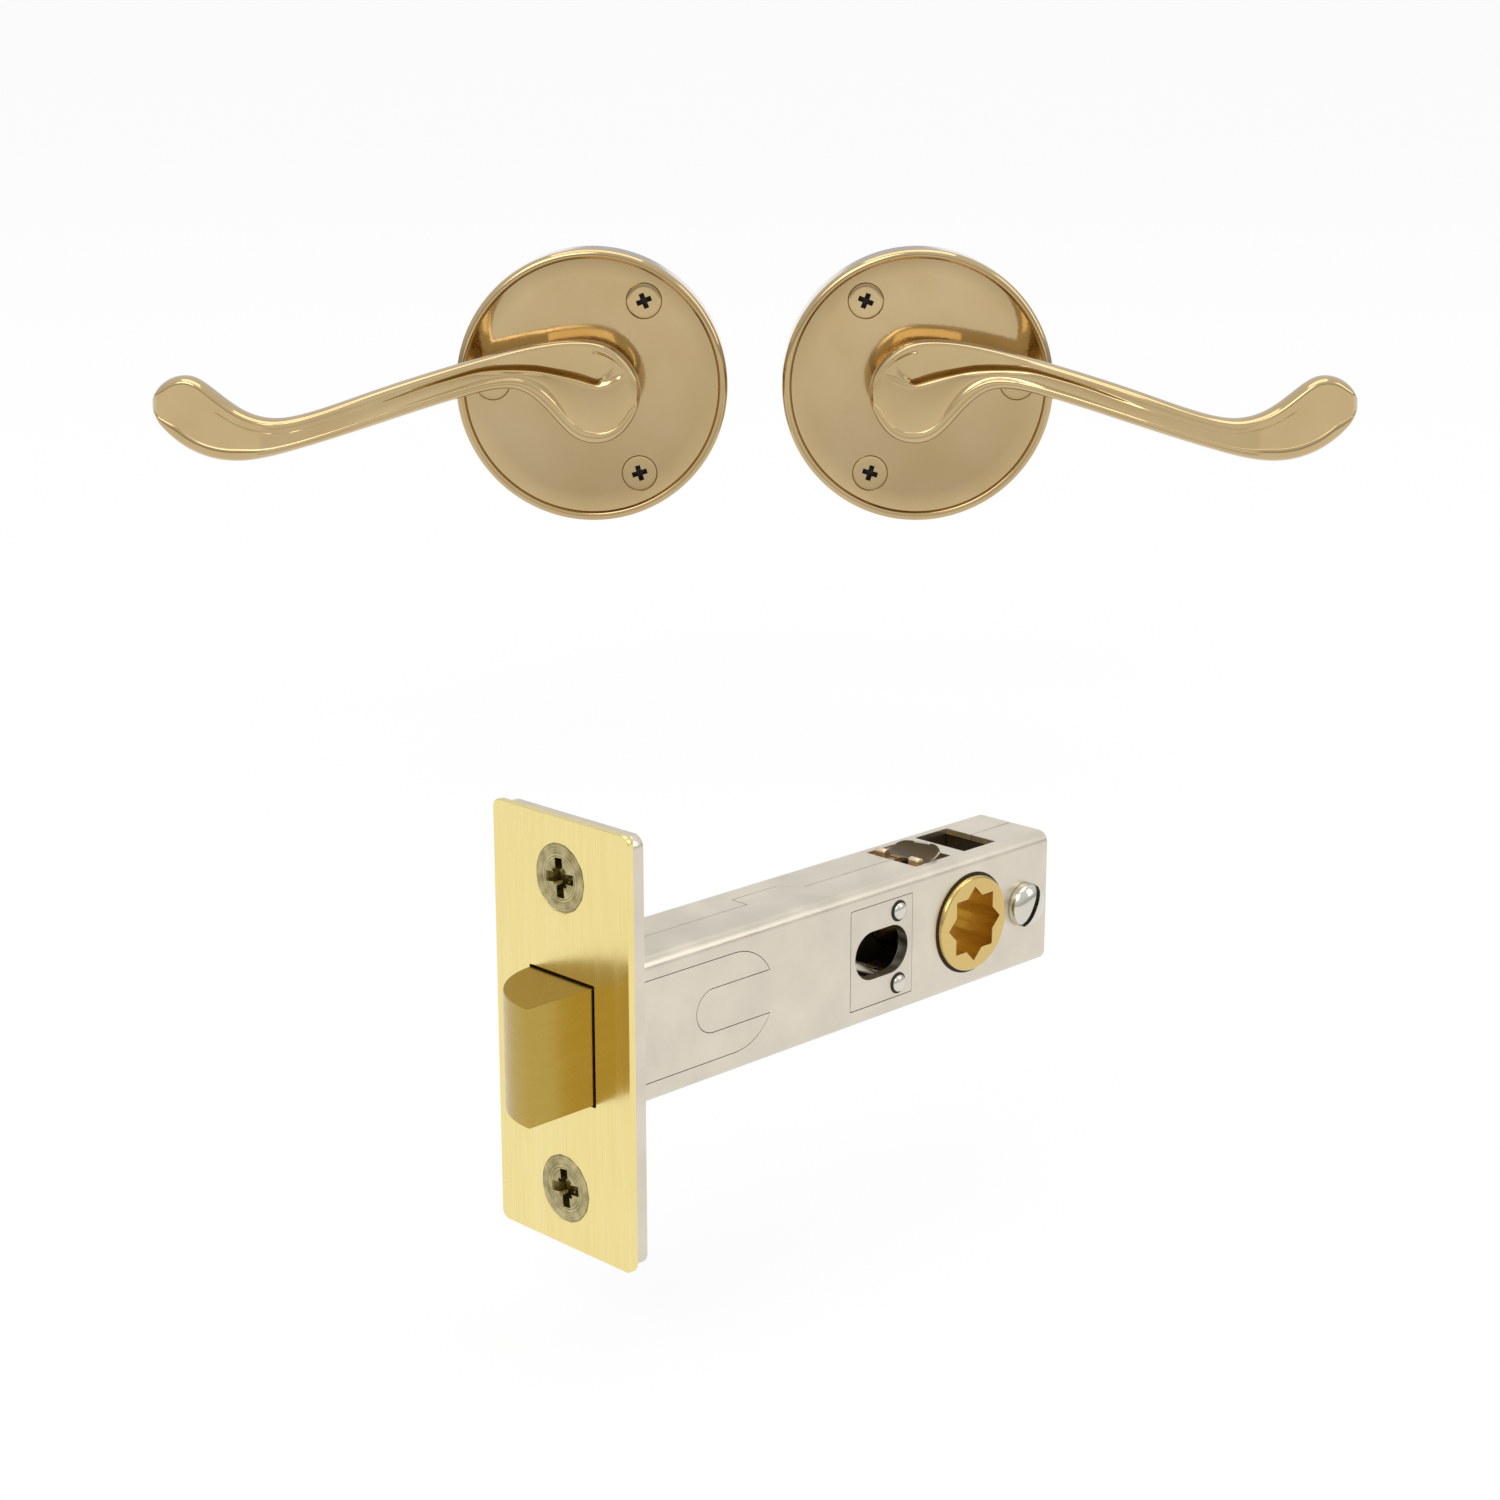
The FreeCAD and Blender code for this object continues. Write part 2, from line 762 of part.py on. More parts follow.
def make_bolt():
    """Brass bolt with a flat side, a curved striking face and a slotted tail."""
    half = bolt_width / 2
    nose = from_front(-bolt_projection)
    tail = from_front(bolt_tail)
    front = from_front(0)
    steps = [(tail, half), (front - 0.6, half),
             ((nose + 0.26 * bolt_projection, half * 0.33), (nose, -half + 0.7)),
             ((nose + 0.2, -half + 0.2), (nose + 0.8, -half)), (tail, -half)]
    shape = upright((tail, half), steps[1:], -bolt_height / 2, bolt_height / 2)
    slot = block((from_front(strip_start), tail + 1), (-strip_half_thickness - easy_fit, strip_half_thickness + easy_fit),
                 (-strip_half_height - easy_fit, strip_half_height + easy_fit))
    return clean(shape.cut(slot).cut(rod_y(bolt_pin_radius, -half - 1, half + 1, from_front(bolt_pin_from_front))))


def make_bolt_pin():
    half = bolt_width / 2
    return rod_y(bolt_pin_radius, -half, half, from_front(bolt_pin_from_front))


def make_draw_fork():
    """Flat steel fork: a strip into the bolt, a web, and two rails that pass above and below the slot."""
    y = (-strip_half_thickness, strip_half_thickness)
    strip = block((from_front(strip_start), from_front(fork_web_end)), y, (-strip_half_height, strip_half_height))
    web = block((from_front(fork_web_start), from_front(fork_web_end)), y, (-rail_outer, rail_outer))
    shape = strip.fuse(web)
    for z in ((rail_inner, rail_outer), (-rail_outer, -rail_inner)):
        shape = shape.fuse(block((from_front(fork_web_end), from_front(rail_end)), y, z))
    return clean(shape.cut(rod_y(bolt_pin_radius, -bolt_width, bolt_width, from_front(bolt_pin_from_front))))


def make_retractor(side):
    """Steel saddle on the end of a rail, above (side 1) or below (side -1) the hub; a lug pushes its bar."""
    z = sorted((side * rail_inner, side * (rail_inner + retractor_thickness)))
    plate = block((from_front(retractor_start), from_front(retractor_end)),
                  (-retractor_half_width, retractor_half_width), z)
    grip = strip_half_thickness + easy_fit
    room = hub_lug_half_thickness + lug_room
    plate = plate.cut(block((from_front(retractor_start) - 1, from_front(rail_end) + easy_fit), (-grip, grip), (z[0] - 1, z[1] + 1)))
    return clean(plate.cut(block((from_front(rail_end), from_front(push_face)), (-room, room), (z[0] - 1, z[1] + 1))))


def make_bolt_spring():
    """Coil between the bolt's tail and the spring seat."""
    start = from_front(bolt_tail) + easy_fit
    end = from_front(spring_seat_start) - easy_fit
    pitch = (end - start - bolt_wire_side) / bolt_spring_turns
    return facing_latch(square_coil(bolt_spring_radius, bolt_wire_side, -end, pitch, bolt_spring_turns))


def fitted_bar(low, high):
    """A bar that fits inside the case."""
    return bevelled_bar(2 * inner_side - 2 * easy_fit, 2 * inner_top - 2 * easy_fit, inner_bevel, low, high)


def make_spring_seat():
    """Plate fixed across the case, which the strip slides through."""
    low = from_front(spring_seat_start)
    plate = fitted_bar(low, low + spring_seat_thickness)
    y = strip_half_thickness + 0.15
    z = strip_half_height + 0.15
    return plate.cut(block((low - 1, low + spring_seat_thickness + 1), (-y, y), (-z, z)))


# Latch: case

def seam():
    """The joint of the folded sheet along the top, with the dovetail that locks it."""
    top = case_top + 1
    low = inner_top - 1
    half = seam_gap / 2
    start = from_front(dovetail_start)
    end = from_front(dovetail_end)
    right = end + dovetail_slope
    far = dovetail_depth
    stop = from_front(cage_window[0]) + 1
    steps = [(start + half, -half), (start + half, far - half), (end, far - half), (right, -half),
             (stop, -half), (stop, half), (right + half, half), (end + half, far + half),
             (start - half, far + half), (start - half, half), (-case_seat - 1, half)]
    line = upright((-case_seat - 1, -half), steps, low, top)
    rest = block((from_front(end_window[1]) - 1, from_front(case_length) + 1), (-half, half), (low, top))
    return [line, rest]


def insert_pad(grow, low, high):
    """The part of a guide plate that fills its opening in the side of the case."""
    half = insert_height / 2 + grow
    return block((from_front(insert_start) - grow, from_front(insert_end) + grow), (low, high), (-half, half))


def make_case():
    """Folded steel case with its seam, windows, bores and the openings for tongues and guide plates."""
    outer = rounded_bar(case_thickness, case_height, case_corner, -case_seat, from_front(case_length))
    inner = bevelled_bar(2 * inner_side, 2 * inner_top, inner_bevel, -case_seat - 1, from_front(case_length) + 1)
    shape = outer.cut(inner)
    for low, high in ((-case_side - 1, -inner_side + 0.01), (inner_side - 0.01, case_side + 1)):
        shape = shape.cut(tongue_bar(easy_fit, low, high)).cut(insert_pad(easy_fit, low, high))
    shape = shape.cut(rod_y(hub_radius + hub_hole_clearance, -case_side - 1, case_side + 1, hub_x))
    shape = shape.cut(rod_y(end_screw_radius + screw_play, -case_side - 1, 0, from_front(end_screw_from_front)))
    for window in (cage_window, end_window):
        shape = shape.cut(block((from_front(window[0]), from_front(window[1])),
                                (-window_half_width, window_half_width), (inner_top - 1, case_top + 1)))
    for cut in seam():
        shape = shape.cut(cut)
    return clean(shape)


# Latch: hub, guide plates, rivets

def make_hub():
    """Brass follower: two journals, a body with two lugs, and an eight-cornered socket."""
    reach = case_side + hub_proud
    steps = [(hub_radius, -reach), (hub_radius, -hub_body_half_width), (hub_body_radius, -hub_body_half_width),
             (hub_body_radius, hub_body_half_width), (hub_radius, hub_body_half_width), (hub_radius, reach), (0, reach)]
    shape = turned((0, -reach), steps)
    y = (-hub_lug_half_thickness, hub_lug_half_thickness)
    for side in (1, -1):
        z = sorted((side * (hub_body_radius - 1), side * hub_lug_radius))
        lug = block((-hub_lug_half_width, hub_lug_half_width), y, z)
        lug.rotate(origin, V(0, 1, 0), -side * hub_lug_lean)
        shape = shape.fuse(lug)
    for turn in (0, 45):
        square = square_bar(hub_square_side, -reach - 1, reach + 1)
        square.rotate(origin, V(0, 1, 0), turn)
        shape = shape.cut(square)
    shape = clean(shape)
    shape.translate(V(hub_x, 0, 0))
    return shape


def make_guide_plate(side):
    """Plate let into the side of the case, near (side -1) or far (side 1), with the oval slot."""
    low, high = sorted((side * inner_side, side * case_side))
    pad = insert_pad(0, low, high)
    low, high = sorted((side * inner_side, side * (inner_side - insert_flange_thickness)))
    half = insert_height / 2 + insert_flange
    flange = block((from_front(insert_start) - insert_flange, from_front(insert_end) + insert_flange), (low, high), (-half, half))
    r = slot_height / 2
    start = from_front(slot_start)
    end = from_front(slot_end)
    steps = [(end - r, r), ((end, 0), (end - r, -r)), (start + r, -r), ((start, 0), (start + r, r))]
    shape = pad.fuse(flange).cut(across((start + r, r), steps, -case_side - 1, case_side + 1))
    for z in (rivet_offset, -rivet_offset):
        shape = shape.cut(rod_y(rivet_radius, -case_side - 1, case_side + 1, from_front(rivet_from_front), z))
    return clean(shape)


def make_slot_rivets():
    """Two pins that hold the guide plates apart and in their openings."""
    reach = case_side + rivet_proud
    pin = rod_y(rivet_radius, -reach, reach)
    return Part.Compound([pin.translated(V(from_front(rivet_from_front), 0, z)) for z in (rivet_offset, -rivet_offset)])


# Latch: cage, leaf, end plug and end screw

def make_cage():
    """Thin plate under the first window, with two tabs that stand up through it."""
    low = inner_top - cage_thickness
    shape = block((from_front(cage_start), from_front(cage_end)), (-cage_half_width, cage_half_width), (low, inner_top))
    shape = shape.cut(block((from_front(cage_bridge_end), from_front(cage_end) + 1),
                            (-cage_slot_half_width, cage_slot_half_width), (low - 1, inner_top + 1)))
    start = from_front(cage_tab_start)
    end = start + cage_tab_thickness
    top = case_top + cage_tab_proud
    crown = ((start + cage_tab_thickness / 2, top), (end, top - 0.35))
    for middle in (-cage_tab_offset, cage_tab_offset):
        steps = [(start, top - 0.35), crown, (end, low)]
        shape = shape.fuse(across((start, low), steps, middle - cage_tab_half_width, middle + cage_tab_half_width))
    return clean(shape)


def make_leaf():
    """Bright leaf on the cage that curls up out of the first window."""
    x = from_front(leaf_start)
    z = inner_top
    t = leaf_thickness
    reach = x + leaf_reach
    rise = z + leaf_rise
    steps = [(x + 1, z), ((x + 0.72 * leaf_reach, z + 0.3 * leaf_rise), (reach, rise)), (reach - t, rise + 0.25),
             ((x + 0.6 * leaf_reach, z + 0.3 * leaf_rise + t), (x + 1, z + t)), (x, z + t)]
    shape = across((x, z), steps, -leaf_half_width, leaf_half_width)
    corner = [e for e in shape.Edges if e.BoundBox.ZMin > rise - 0.01 and e.BoundBox.YMax < -leaf_half_width + 0.01]
    return clean(shape.makeFillet(leaf_corner, corner)) if corner else shape


def make_end_plug():
    """Block that closes the case and takes the end screw."""
    plug = fitted_bar(from_front(end_plug_start), from_front(case_length) - end_plug_recess)
    depth = case_side - end_screw_length - 0.5
    return plug.cut(rod_y(end_screw_radius, -case_side - 1, -depth, from_front(end_screw_from_front)))


def make_end_screw():
    """Pan head screw that locks the end plug in the case."""
    face = case_side
    tip = face - end_screw_length
    r = end_screw_head_radius
    top = face + end_screw_head_height
    edge = top - 0.5 * end_screw_head_height
    head = flat_turned([(0, face), (r, face), (r, edge), (0.6 * r, top), (0, top)], screw_head_sides)
    shape = head.fuse(rod_y(end_screw_radius, -face - 0.5, -tip))
    half = end_screw_slot / 2
    slot = block((-r - 1, r + 1), (-top - 1, -top + 1.1), (-half, half))
    slot.rotate(origin, V(0, 1, 0), -62)
    shape = clean(shape.cut(slot))
    shape.translate(V(from_front(end_screw_from_front), 0, 0))
    return shape


# The pieces of one handle, drawn for the left one

def handle_pieces():
    return {
        "rose": make_rose(),
        "rose_screws": make_rose_screws(),
        "backing_plate": make_backing_plate(),
        "driver": make_driver(),
        "return_spring": make_return_spring(),
        "lever": make_lever(),
        "grub_screw": make_grub_screw(),
    }


def placed(shape):
    """A handle piece moved to its place on the door plane."""
    shape = shape.copy()
    shape.rotate(origin, V(0, 0, 1), -handle_turn)
    shape.translate(left_rose_place)
    return shape


def all_pieces():
    pieces = {}
    for name, shape in handle_pieces().items():
        pieces["left_" + name] = placed(shape)
        pieces["right_" + name] = placed(shape.mirror(V(rose_pitch / 2, 0, 0), V(1, 0, 0)))
    pieces["spindle"] = placed(make_spindle())
    pieces["face_cover"] = make_cover()
    pieces["forend"] = make_forend()
    pieces["plate_screws"] = make_plate_screws()
    pieces["latch_case"] = make_case()
    pieces["bolt"] = make_bolt()
    pieces["bolt_pin"] = make_bolt_pin()
    pieces["bolt_spring"] = make_bolt_spring()
    pieces["spring_seat"] = make_spring_seat()
    pieces["draw_fork"] = make_draw_fork()
    pieces["upper_retractor"] = make_retractor(1)
    pieces["lower_retractor"] = make_retractor(-1)
    pieces["hub"] = make_hub()
    pieces["near_guide_plate"] = make_guide_plate(-1)
    pieces["far_guide_plate"] = make_guide_plate(1)
    pieces["slot_rivets"] = make_slot_rivets()
    pieces["cam_cage"] = make_cage()
    pieces["cage_leaf"] = make_leaf()
    pieces["end_plug"] = make_end_plug()
    pieces["end_screw"] = make_end_screw()
    return pieces


os.makedirs("parts", exist_ok=True)
for name, shape in all_pieces().items():
    shape.exportStep("parts/" + name + ".step")
    print(name, round(shape.Volume, 2), "valid" if shape.isValid() else "BROKEN", len(shape.Solids), "solid")
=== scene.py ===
"""How the passage handle set looks: two scroll levers on round roses and a tubular latch, on a white floor.

Places are in metres in the frame of the set: the origin is the middle of the forend's back face, +X runs
along the latch, +Z is up. Shapes are drawn in millimetres; those of a handle are drawn about its own spindle
axis and then placed.
"""

import json
import math

import bmesh
import bpy
import numpy
from mathutils import Matrix, Vector


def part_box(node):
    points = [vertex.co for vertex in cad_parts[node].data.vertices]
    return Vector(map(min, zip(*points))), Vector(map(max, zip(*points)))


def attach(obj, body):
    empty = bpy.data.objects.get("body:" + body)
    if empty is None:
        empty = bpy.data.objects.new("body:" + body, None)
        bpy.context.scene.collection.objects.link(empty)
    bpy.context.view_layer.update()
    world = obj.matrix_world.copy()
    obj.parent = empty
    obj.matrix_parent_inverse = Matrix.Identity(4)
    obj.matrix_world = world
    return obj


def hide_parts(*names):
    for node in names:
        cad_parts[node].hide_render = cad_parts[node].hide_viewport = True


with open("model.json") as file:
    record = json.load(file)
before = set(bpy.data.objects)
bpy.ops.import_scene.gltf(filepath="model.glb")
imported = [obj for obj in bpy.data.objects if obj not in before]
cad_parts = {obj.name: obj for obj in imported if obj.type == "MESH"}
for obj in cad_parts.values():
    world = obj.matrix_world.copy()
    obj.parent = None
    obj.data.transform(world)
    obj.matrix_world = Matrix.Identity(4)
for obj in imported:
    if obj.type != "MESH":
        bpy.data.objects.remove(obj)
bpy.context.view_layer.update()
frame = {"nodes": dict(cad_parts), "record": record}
scene = bpy.context.scene

# Camera
# The photograph's own viewpoint: a long lens, square picture, looking down a little on the corner of the
# set so that the roses face it squarely and the latch runs away to the right.

eye = Vector((-0.21898, -0.24928, 0.12515))
gaze = Vector((0.6830, 0.6830, -0.2588))
lens_data = bpy.data.cameras.new("viewpoint")
lens_data.lens = 67.2
lens_data.sensor_width = 36.0
lens_data.clip_start = 0.01
viewpoint = bpy.data.objects.new("viewpoint", lens_data)
viewpoint.location = eye
viewpoint.rotation_euler = gaze.to_track_quat("-Z", "Y").to_euler()
scene.collection.objects.link(viewpoint)
scene.camera = viewpoint
scene.view_settings.view_transform = "Standard"

# Floor and light
# A white sheet lies flat under the set and curves up behind it, and a low white card that the camera can't
# see stands before the roses. Three soft boxes light the set from the upper left, the top and the right, in
# a room whose walls are darker than its ceiling.


class Signal:
    """The output of a shader node, to be used in sums."""

    def __init__(self, finish, socket):
        self.finish = finish
        self.socket = socket

    def worked(self, operation, *terms):
        """A Math node that works on these terms, links or numbers."""
        return self.finish.node("ShaderNodeMath", {"operation": operation}, dict(enumerate(terms)))

    def __add__(self, other):
        return self.worked("ADD", self, other)

    def __radd__(self, other):
        return self.worked("ADD", other, self)

    def __sub__(self, other):
        return self.worked("SUBTRACT", self, other)

    def __rsub__(self, other):
        return self.worked("SUBTRACT", other, self)

    def __mul__(self, other):
        return self.worked("MULTIPLY", self, other)

    def __rmul__(self, other):
        return self.worked("MULTIPLY", other, self)

    def __pow__(self, other):
        return self.worked("POWER", self, other)

    def __rpow__(self, other):
        return self.worked("POWER", other, self)


class Finish:
    """A node tree being put together: of a material, or of the room round the set."""

    def __init__(self, name, owner=None):
        self.owner = owner or bpy.data.materials.new(name)
        self.owner.use_nodes = True
        self.tree = self.owner.node_tree
        self.tree.nodes.clear()

    def node(self, kind, settings=None, sockets=None, out=0):
        """Adds a node, sets it, fills its sockets with values or links, and gives one of its outputs."""
        added = self.tree.nodes.new(kind)
        for name, value in (settings or {}).items():
            if name == "stops":
                stops = added.color_ramp.elements
                while len(stops) < len(value):
                    stops.new(0.5)
                for stop, (place, level) in zip(stops, value):
                    stop.position = place
                    stop.color = (level, level, level, 1)
            else:
                setattr(added, name, value)
        for name, value in (sockets or {}).items():
            if isinstance(value, Signal):
                self.tree.links.new(value.socket, added.inputs[name])
            else:
                added.inputs[name].default_value = value
        return Signal(self, added.outputs[out]) if added.outputs else added

    def blend(self, share, first, second):
        """From the first colour to the second by a share."""
        return self.node("ShaderNodeMix", {"data_type": "RGBA"}, {0: share, 6: first, 7: second}, 2)

    def place(self, stretch):
        """Where a point is on its piece, with each axis stretched by its own factor."""
        spot = self.node("ShaderNodeTexCoord", out="Object")
        return self.node("ShaderNodeVectorMath", {"operation": "MULTIPLY"}, {0: spot, 1: stretch})

    def cloud(self, grain, detail, stretch=(1, 1, 1), rough=0.5):
        """Soft noise from 0 to 1 whose patches are about a grain across, in metres."""
        sockets = {"Vector": self.place(stretch), "Scale": 1 / grain, "Detail": detail, "Roughness": rough}
        return self.node("ShaderNodeTexNoise", {"noise_dimensions": "3D"}, sockets, "Fac")

    def spread(self, signal, low, high):
        """A signal read from low to high as 0 to 1, held at both ends."""
        return self.node("ShaderNodeMapRange", {"clamp": True}, {0: signal, 1: low, 2: high, 3: 0.0, 4: 1.0})

    def relief(self, height, distance, strength):
        """A bump from a height signal; a height of 1 stands this distance out, in metres."""
        sockets = {"Height": height, "Distance": distance, "Strength": strength}
        return self.node("ShaderNodeBump", None, sockets)

    def surface(self, **sockets):
        """Ends the tree in one shader with these socket values and links."""
        named = {name.replace("_", " ").title(): value for name, value in sockets.items()}
        shader = self.node("ShaderNodeBsdfPrincipled", None, named)
        self.node("ShaderNodeOutputMaterial", None, {"Surface": shader})
        return self.owner


def white_sheet():
    """White paper that keeps the shadow of the set and is otherwise seen as plain white."""
    paper = Finish("white_sheet")
    plain_white = 0.88
    sockets = {"Base Color": (0.84, 0.84, 0.84, 1), "Roughness": 0.9, "Specular IOR Level": 0.1}
    matt = paper.node("ShaderNodeBsdfPrincipled", None, sockets)
    glow = paper.node("ShaderNodeEmission", None, {"Color": (1, 1, 1, 1), "Strength": 1.0})
    seen = paper.node("ShaderNodeLightPath", out="Is Camera Ray")
    mirrored = paper.node("ShaderNodeLightPath", out="Is Glossy Ray")
    through = paper.node("ShaderNodeLightPath", out="Is Transmission Ray")
    share = (seen + mirrored + through) * plain_white
    both = paper.node("ShaderNodeMixShader", None, {0: share, 1: matt, 2: glow})
    paper.node("ShaderNodeOutputMaterial", None, {"Surface": both})
    return paper.owner


QUARTER = math.pi / 2
BEHIND = Vector((gaze.x, gaze.y, 0)).normalized()
ASIDE = Vector((BEHIND.y, -BEHIND.x, 0))
FLOOR_GAP = 0.0115


def make_sheet():
    """The sheet, so far below the face plate that the levers clear it at the end of their turn."""
    floor_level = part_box("face_cover")[0].z - FLOOR_GAP
    front, back, bend, half_width = -1.6, 3.0, 0.3, 2.4
    turns = numpy.linspace(0, QUARTER, 13)[1:]
    rows = [(front, 0.0), (back, 0.0)]
    rows += [(back + bend * math.sin(a), bend - bend * math.cos(a)) for a in turns]
    mesh = bmesh.new()
    for distance, rise in rows:
        for side in (-half_width, half_width):
            spot = BEHIND * distance + ASIDE * side
            mesh.verts.new((spot.x, spot.y, floor_level + rise))
    mesh.verts.ensure_lookup_table()
    for i in range(len(rows) - 1):
        mesh.faces.new([mesh.verts[k] for k in (2 * i, 2 * i + 1, 2 * i + 3, 2 * i + 2)])
    for face in mesh.faces:
        face.smooth = True
    data = bpy.data.meshes.new("floor")
    mesh.to_mesh(data)
    sheet = bpy.data.objects.new("floor", data)
    sheet.data.materials.append(white_sheet())
    scene.collection.objects.link(sheet)


def soft_box(name, at, size, level):
    """A lamp with a flat front that faces the set. Its level is what a white card would show in it."""
    lamp = bpy.data.lights.new(name, "AREA")
    lamp.shape = "RECTANGLE"
    lamp.size, lamp.size_y = size
    lamp.energy = level * math.pi * size[0] * size[1]
    target = Vector((0.12, 0.12, 0.02))
    holder = bpy.data.objects.new(name, lamp)
    holder.location = at
    holder.rotation_euler = (target - Vector(at)).to_track_quat("-Z", "Y").to_euler()
    scene.collection.objects.link(holder)


def make_room():
    """Grey walls, darkest at eye level, and a light ceiling. Each stop is a height and its grey."""
    room = Finish("room", bpy.data.worlds.new("room"))
    scene.world = room.owner
    spot = room.node("ShaderNodeTexCoord", out="Generated")
    height = room.node("ShaderNodeSeparateXYZ", None, {0: spot}, 2)
    stops = [(0.0, 0.70), (0.46, 0.62), (0.515, 0.42), (0.57, 0.58), (0.66, 0.78), (1.0, 0.95)]
    level = room.node("ShaderNodeValToRGB", {"stops": stops}, {0: height * 0.5 + 0.5})
    seen = room.node("ShaderNodeLightPath", out="Is Camera Ray")
    colour = room.blend(seen, level, (1, 1, 1, 1))
    light = room.node("ShaderNodeBackground", None, {"Color": colour, "Strength": 1.0})
    room.node("ShaderNodeOutputWorld", None, {"Surface": light})


def oblong(left, right, low, high):
    """The four corners of an upright oblong, one after the other."""
    return [(left, low), (right, low), (right, high), (left, high)]


def make_card():
    """The card, a little greyer at its foot. The roses mirror it where they would mirror the latch."""
    distance, left, right, foot, top = 0.200, -0.09, 0.14, -0.0399, 0.056
    mesh = bmesh.new()
    for side, rise in oblong(left, right, foot, top):
        mesh.verts.new(BEHIND * distance + ASIDE * side + Vector((0, 0, rise)))
    mesh.faces.new(list(mesh.verts))
    data = bpy.data.meshes.new("card")
    mesh.to_mesh(data)
    card = bpy.data.objects.new("card", data)
    paper = Finish("white_card")
    height = paper.node("ShaderNodeSeparateXYZ", None, {0: paper.place((1.0, 1.0, 1.0))}, 2)
    shade = paper.spread(height, -0.02, 0.05)
    light = paper.blend(shade, (0.68, 0.68, 0.68, 1), (1, 1, 1, 1))
    glow = paper.node("ShaderNodeEmission", None, {"Color": light, "Strength": 1.0})
    paper.node("ShaderNodeOutputMaterial", None, {"Surface": glow})
    card.data.materials.append(paper.owner)
    scene.collection.objects.link(card)
    card.visible_camera = card.visible_diffuse = card.visible_shadow = False


make_sheet()
make_card()
make_room()
soft_box("key_box", (-0.95, -0.25, 1.05), (0.9, 0.7), 2.6)
soft_box("top_box", (0.2, 0.2, 1.5), (1.2, 1.2), 1.3)
soft_box("right_box", (0.75, -1.0, 0.75), (0.5, 0.9), 1.6)

# Roses
# Cast brass discs, polished and lacquered: a rounded rim, a hollow cove, a flat field and a hollow back
# with two stops for the lever's ear. Each is bored for the neck and has three countersunk screw holes.

MM = 0.001
SPINDLE_SPACING = 0.072
LEFT_PLACE = Matrix.Translation((0.1996, 0.2187, 0.0427)) @ Matrix.Rotation(math.radians(-45), 4, "Z")
MIRROR = Matrix.Translation((SPINDLE_SPACING, 0, 0)) @ Matrix.Diagonal((-1, 1, 1, 1))
HANDLES = {"left": LEFT_PLACE, "right": LEFT_PLACE @ MIRROR}
BODIES = frame["record"]["behaviour"]["bodies"]


def ring_point(radius, degrees):
    """The (across, up) point at this radius and angle, 90 degrees being up."""
    turn = math.radians(degrees)
    return radius * math.cos(turn), radius * math.sin(turn)


def lathed(profile, sides):
    """A closed turned form about the spindle axis, from (radius, depth) points in millimetres."""
    form = bmesh.new()
    rings = []
    for radius, depth in profile:
        if radius == 0:
            rings.append([form.verts.new((0, -depth * MM, 0))] * sides)
        else:
            spots = [ring_point(radius, 360 * i / sides) for i in range(sides)]
            rings.append([form.verts.new((x * MM, -depth * MM, z * MM)) for x, z in spots])
    for near, far in zip(rings, rings[1:] + rings[:1]):
        for i in range(sides):
            corners = []
            for corner in (near[i], far[i], far[(i + 1) % sides], near[(i + 1) % sides]):
                if corner not in corners:
                    corners.append(corner)
            if len(corners) > 2:
                form.faces.new(corners)
    bmesh.ops.recalc_face_normals(form, faces=form.faces)
    return form


def between(*ends):
    """A closed form between two outlines of (across, up) points, each at its own depth, in millimetres."""
    form = bmesh.new()
    rows = []
    for depth, points in ends:
        rows.append([form.verts.new((x * MM, -depth * MM, z * MM)) for x, z in points])
    first, last = rows
    form.faces.new(first)
    form.faces.new(last[::-1])
    for i in range(len(first)):
        j = (i + 1) % len(first)
        form.faces.new((first[i], last[i], last[j], first[j]))
    bmesh.ops.recalc_face_normals(form, faces=form.faces)
    return form


def slab(points, low, high):
    """A closed prism from one outline, between two depths."""
    return between((low, points), (high, points))


def moved(form, matrix):
    """The form moved by a matrix, its faces kept outward."""
    form.transform(matrix)
    if matrix.determinant() < 0:
        bmesh.ops.reverse_faces(form, faces=form.faces)
    return form


def joined(forms):
    """Several forms in one."""
    whole = bmesh.new()
    for form in forms:
        data = bpy.data.meshes.new("part")
        form.to_mesh(data)
        whole.from_mesh(data)
        bpy.data.meshes.remove(data)
    return whole


def made(name, form, sharp=32.0):
    """An object from a form, smooth but for edges that turn by more than sharp degrees."""
    for face in form.faces:
        face.smooth = True
    for edge in form.edges:
        edge.smooth = len(edge.link_faces) == 2 and edge.calc_face_angle() < math.radians(sharp)
    data = bpy.data.meshes.new(name)
    form.to_mesh(data)
    form.free()
    piece = bpy.data.objects.new(name, data)
    scene.collection.objects.link(piece)
    return piece


def flat_faces_first(piece):
    """Lets the large faces of a piece set how its edges are shaded, so that flats stay flat."""
    rule = piece.modifiers.new("flats", "WEIGHTED_NORMAL")
    rule.keep_sharp = True
    rule.weight = 100


def worked_mesh(piece, modifiers):
    """The form of a piece after these modifiers."""
    for kind, settings in modifiers:
        modifier = piece.modifiers.new(kind, kind)
        for name, value in settings.items():
            setattr(modifier, name, value)
    bpy.context.view_layer.update()
    result = piece.evaluated_get(bpy.context.evaluated_depsgraph_get())
    data = result.to_mesh()
    form = bmesh.new()
    form.from_mesh(data)
    result.to_mesh_clear()
    bpy.data.objects.remove(piece)
    return form


def carved(form, tools):
    """A form with others cut out of it."""
    body = made("blank", form)
    cutters = [made("cutter", tool) for tool in tools]
    rule = {"operation": "DIFFERENCE", "solver": "EXACT"}
    result = worked_mesh(body, [("BOOLEAN", {**rule, "object": cutter}) for cutter in cutters])
    for cutter in cutters:
        bpy.data.objects.remove(cutter)
    bmesh.ops.remove_doubles(result, verts=result.verts, dist=1e-7)
    return result


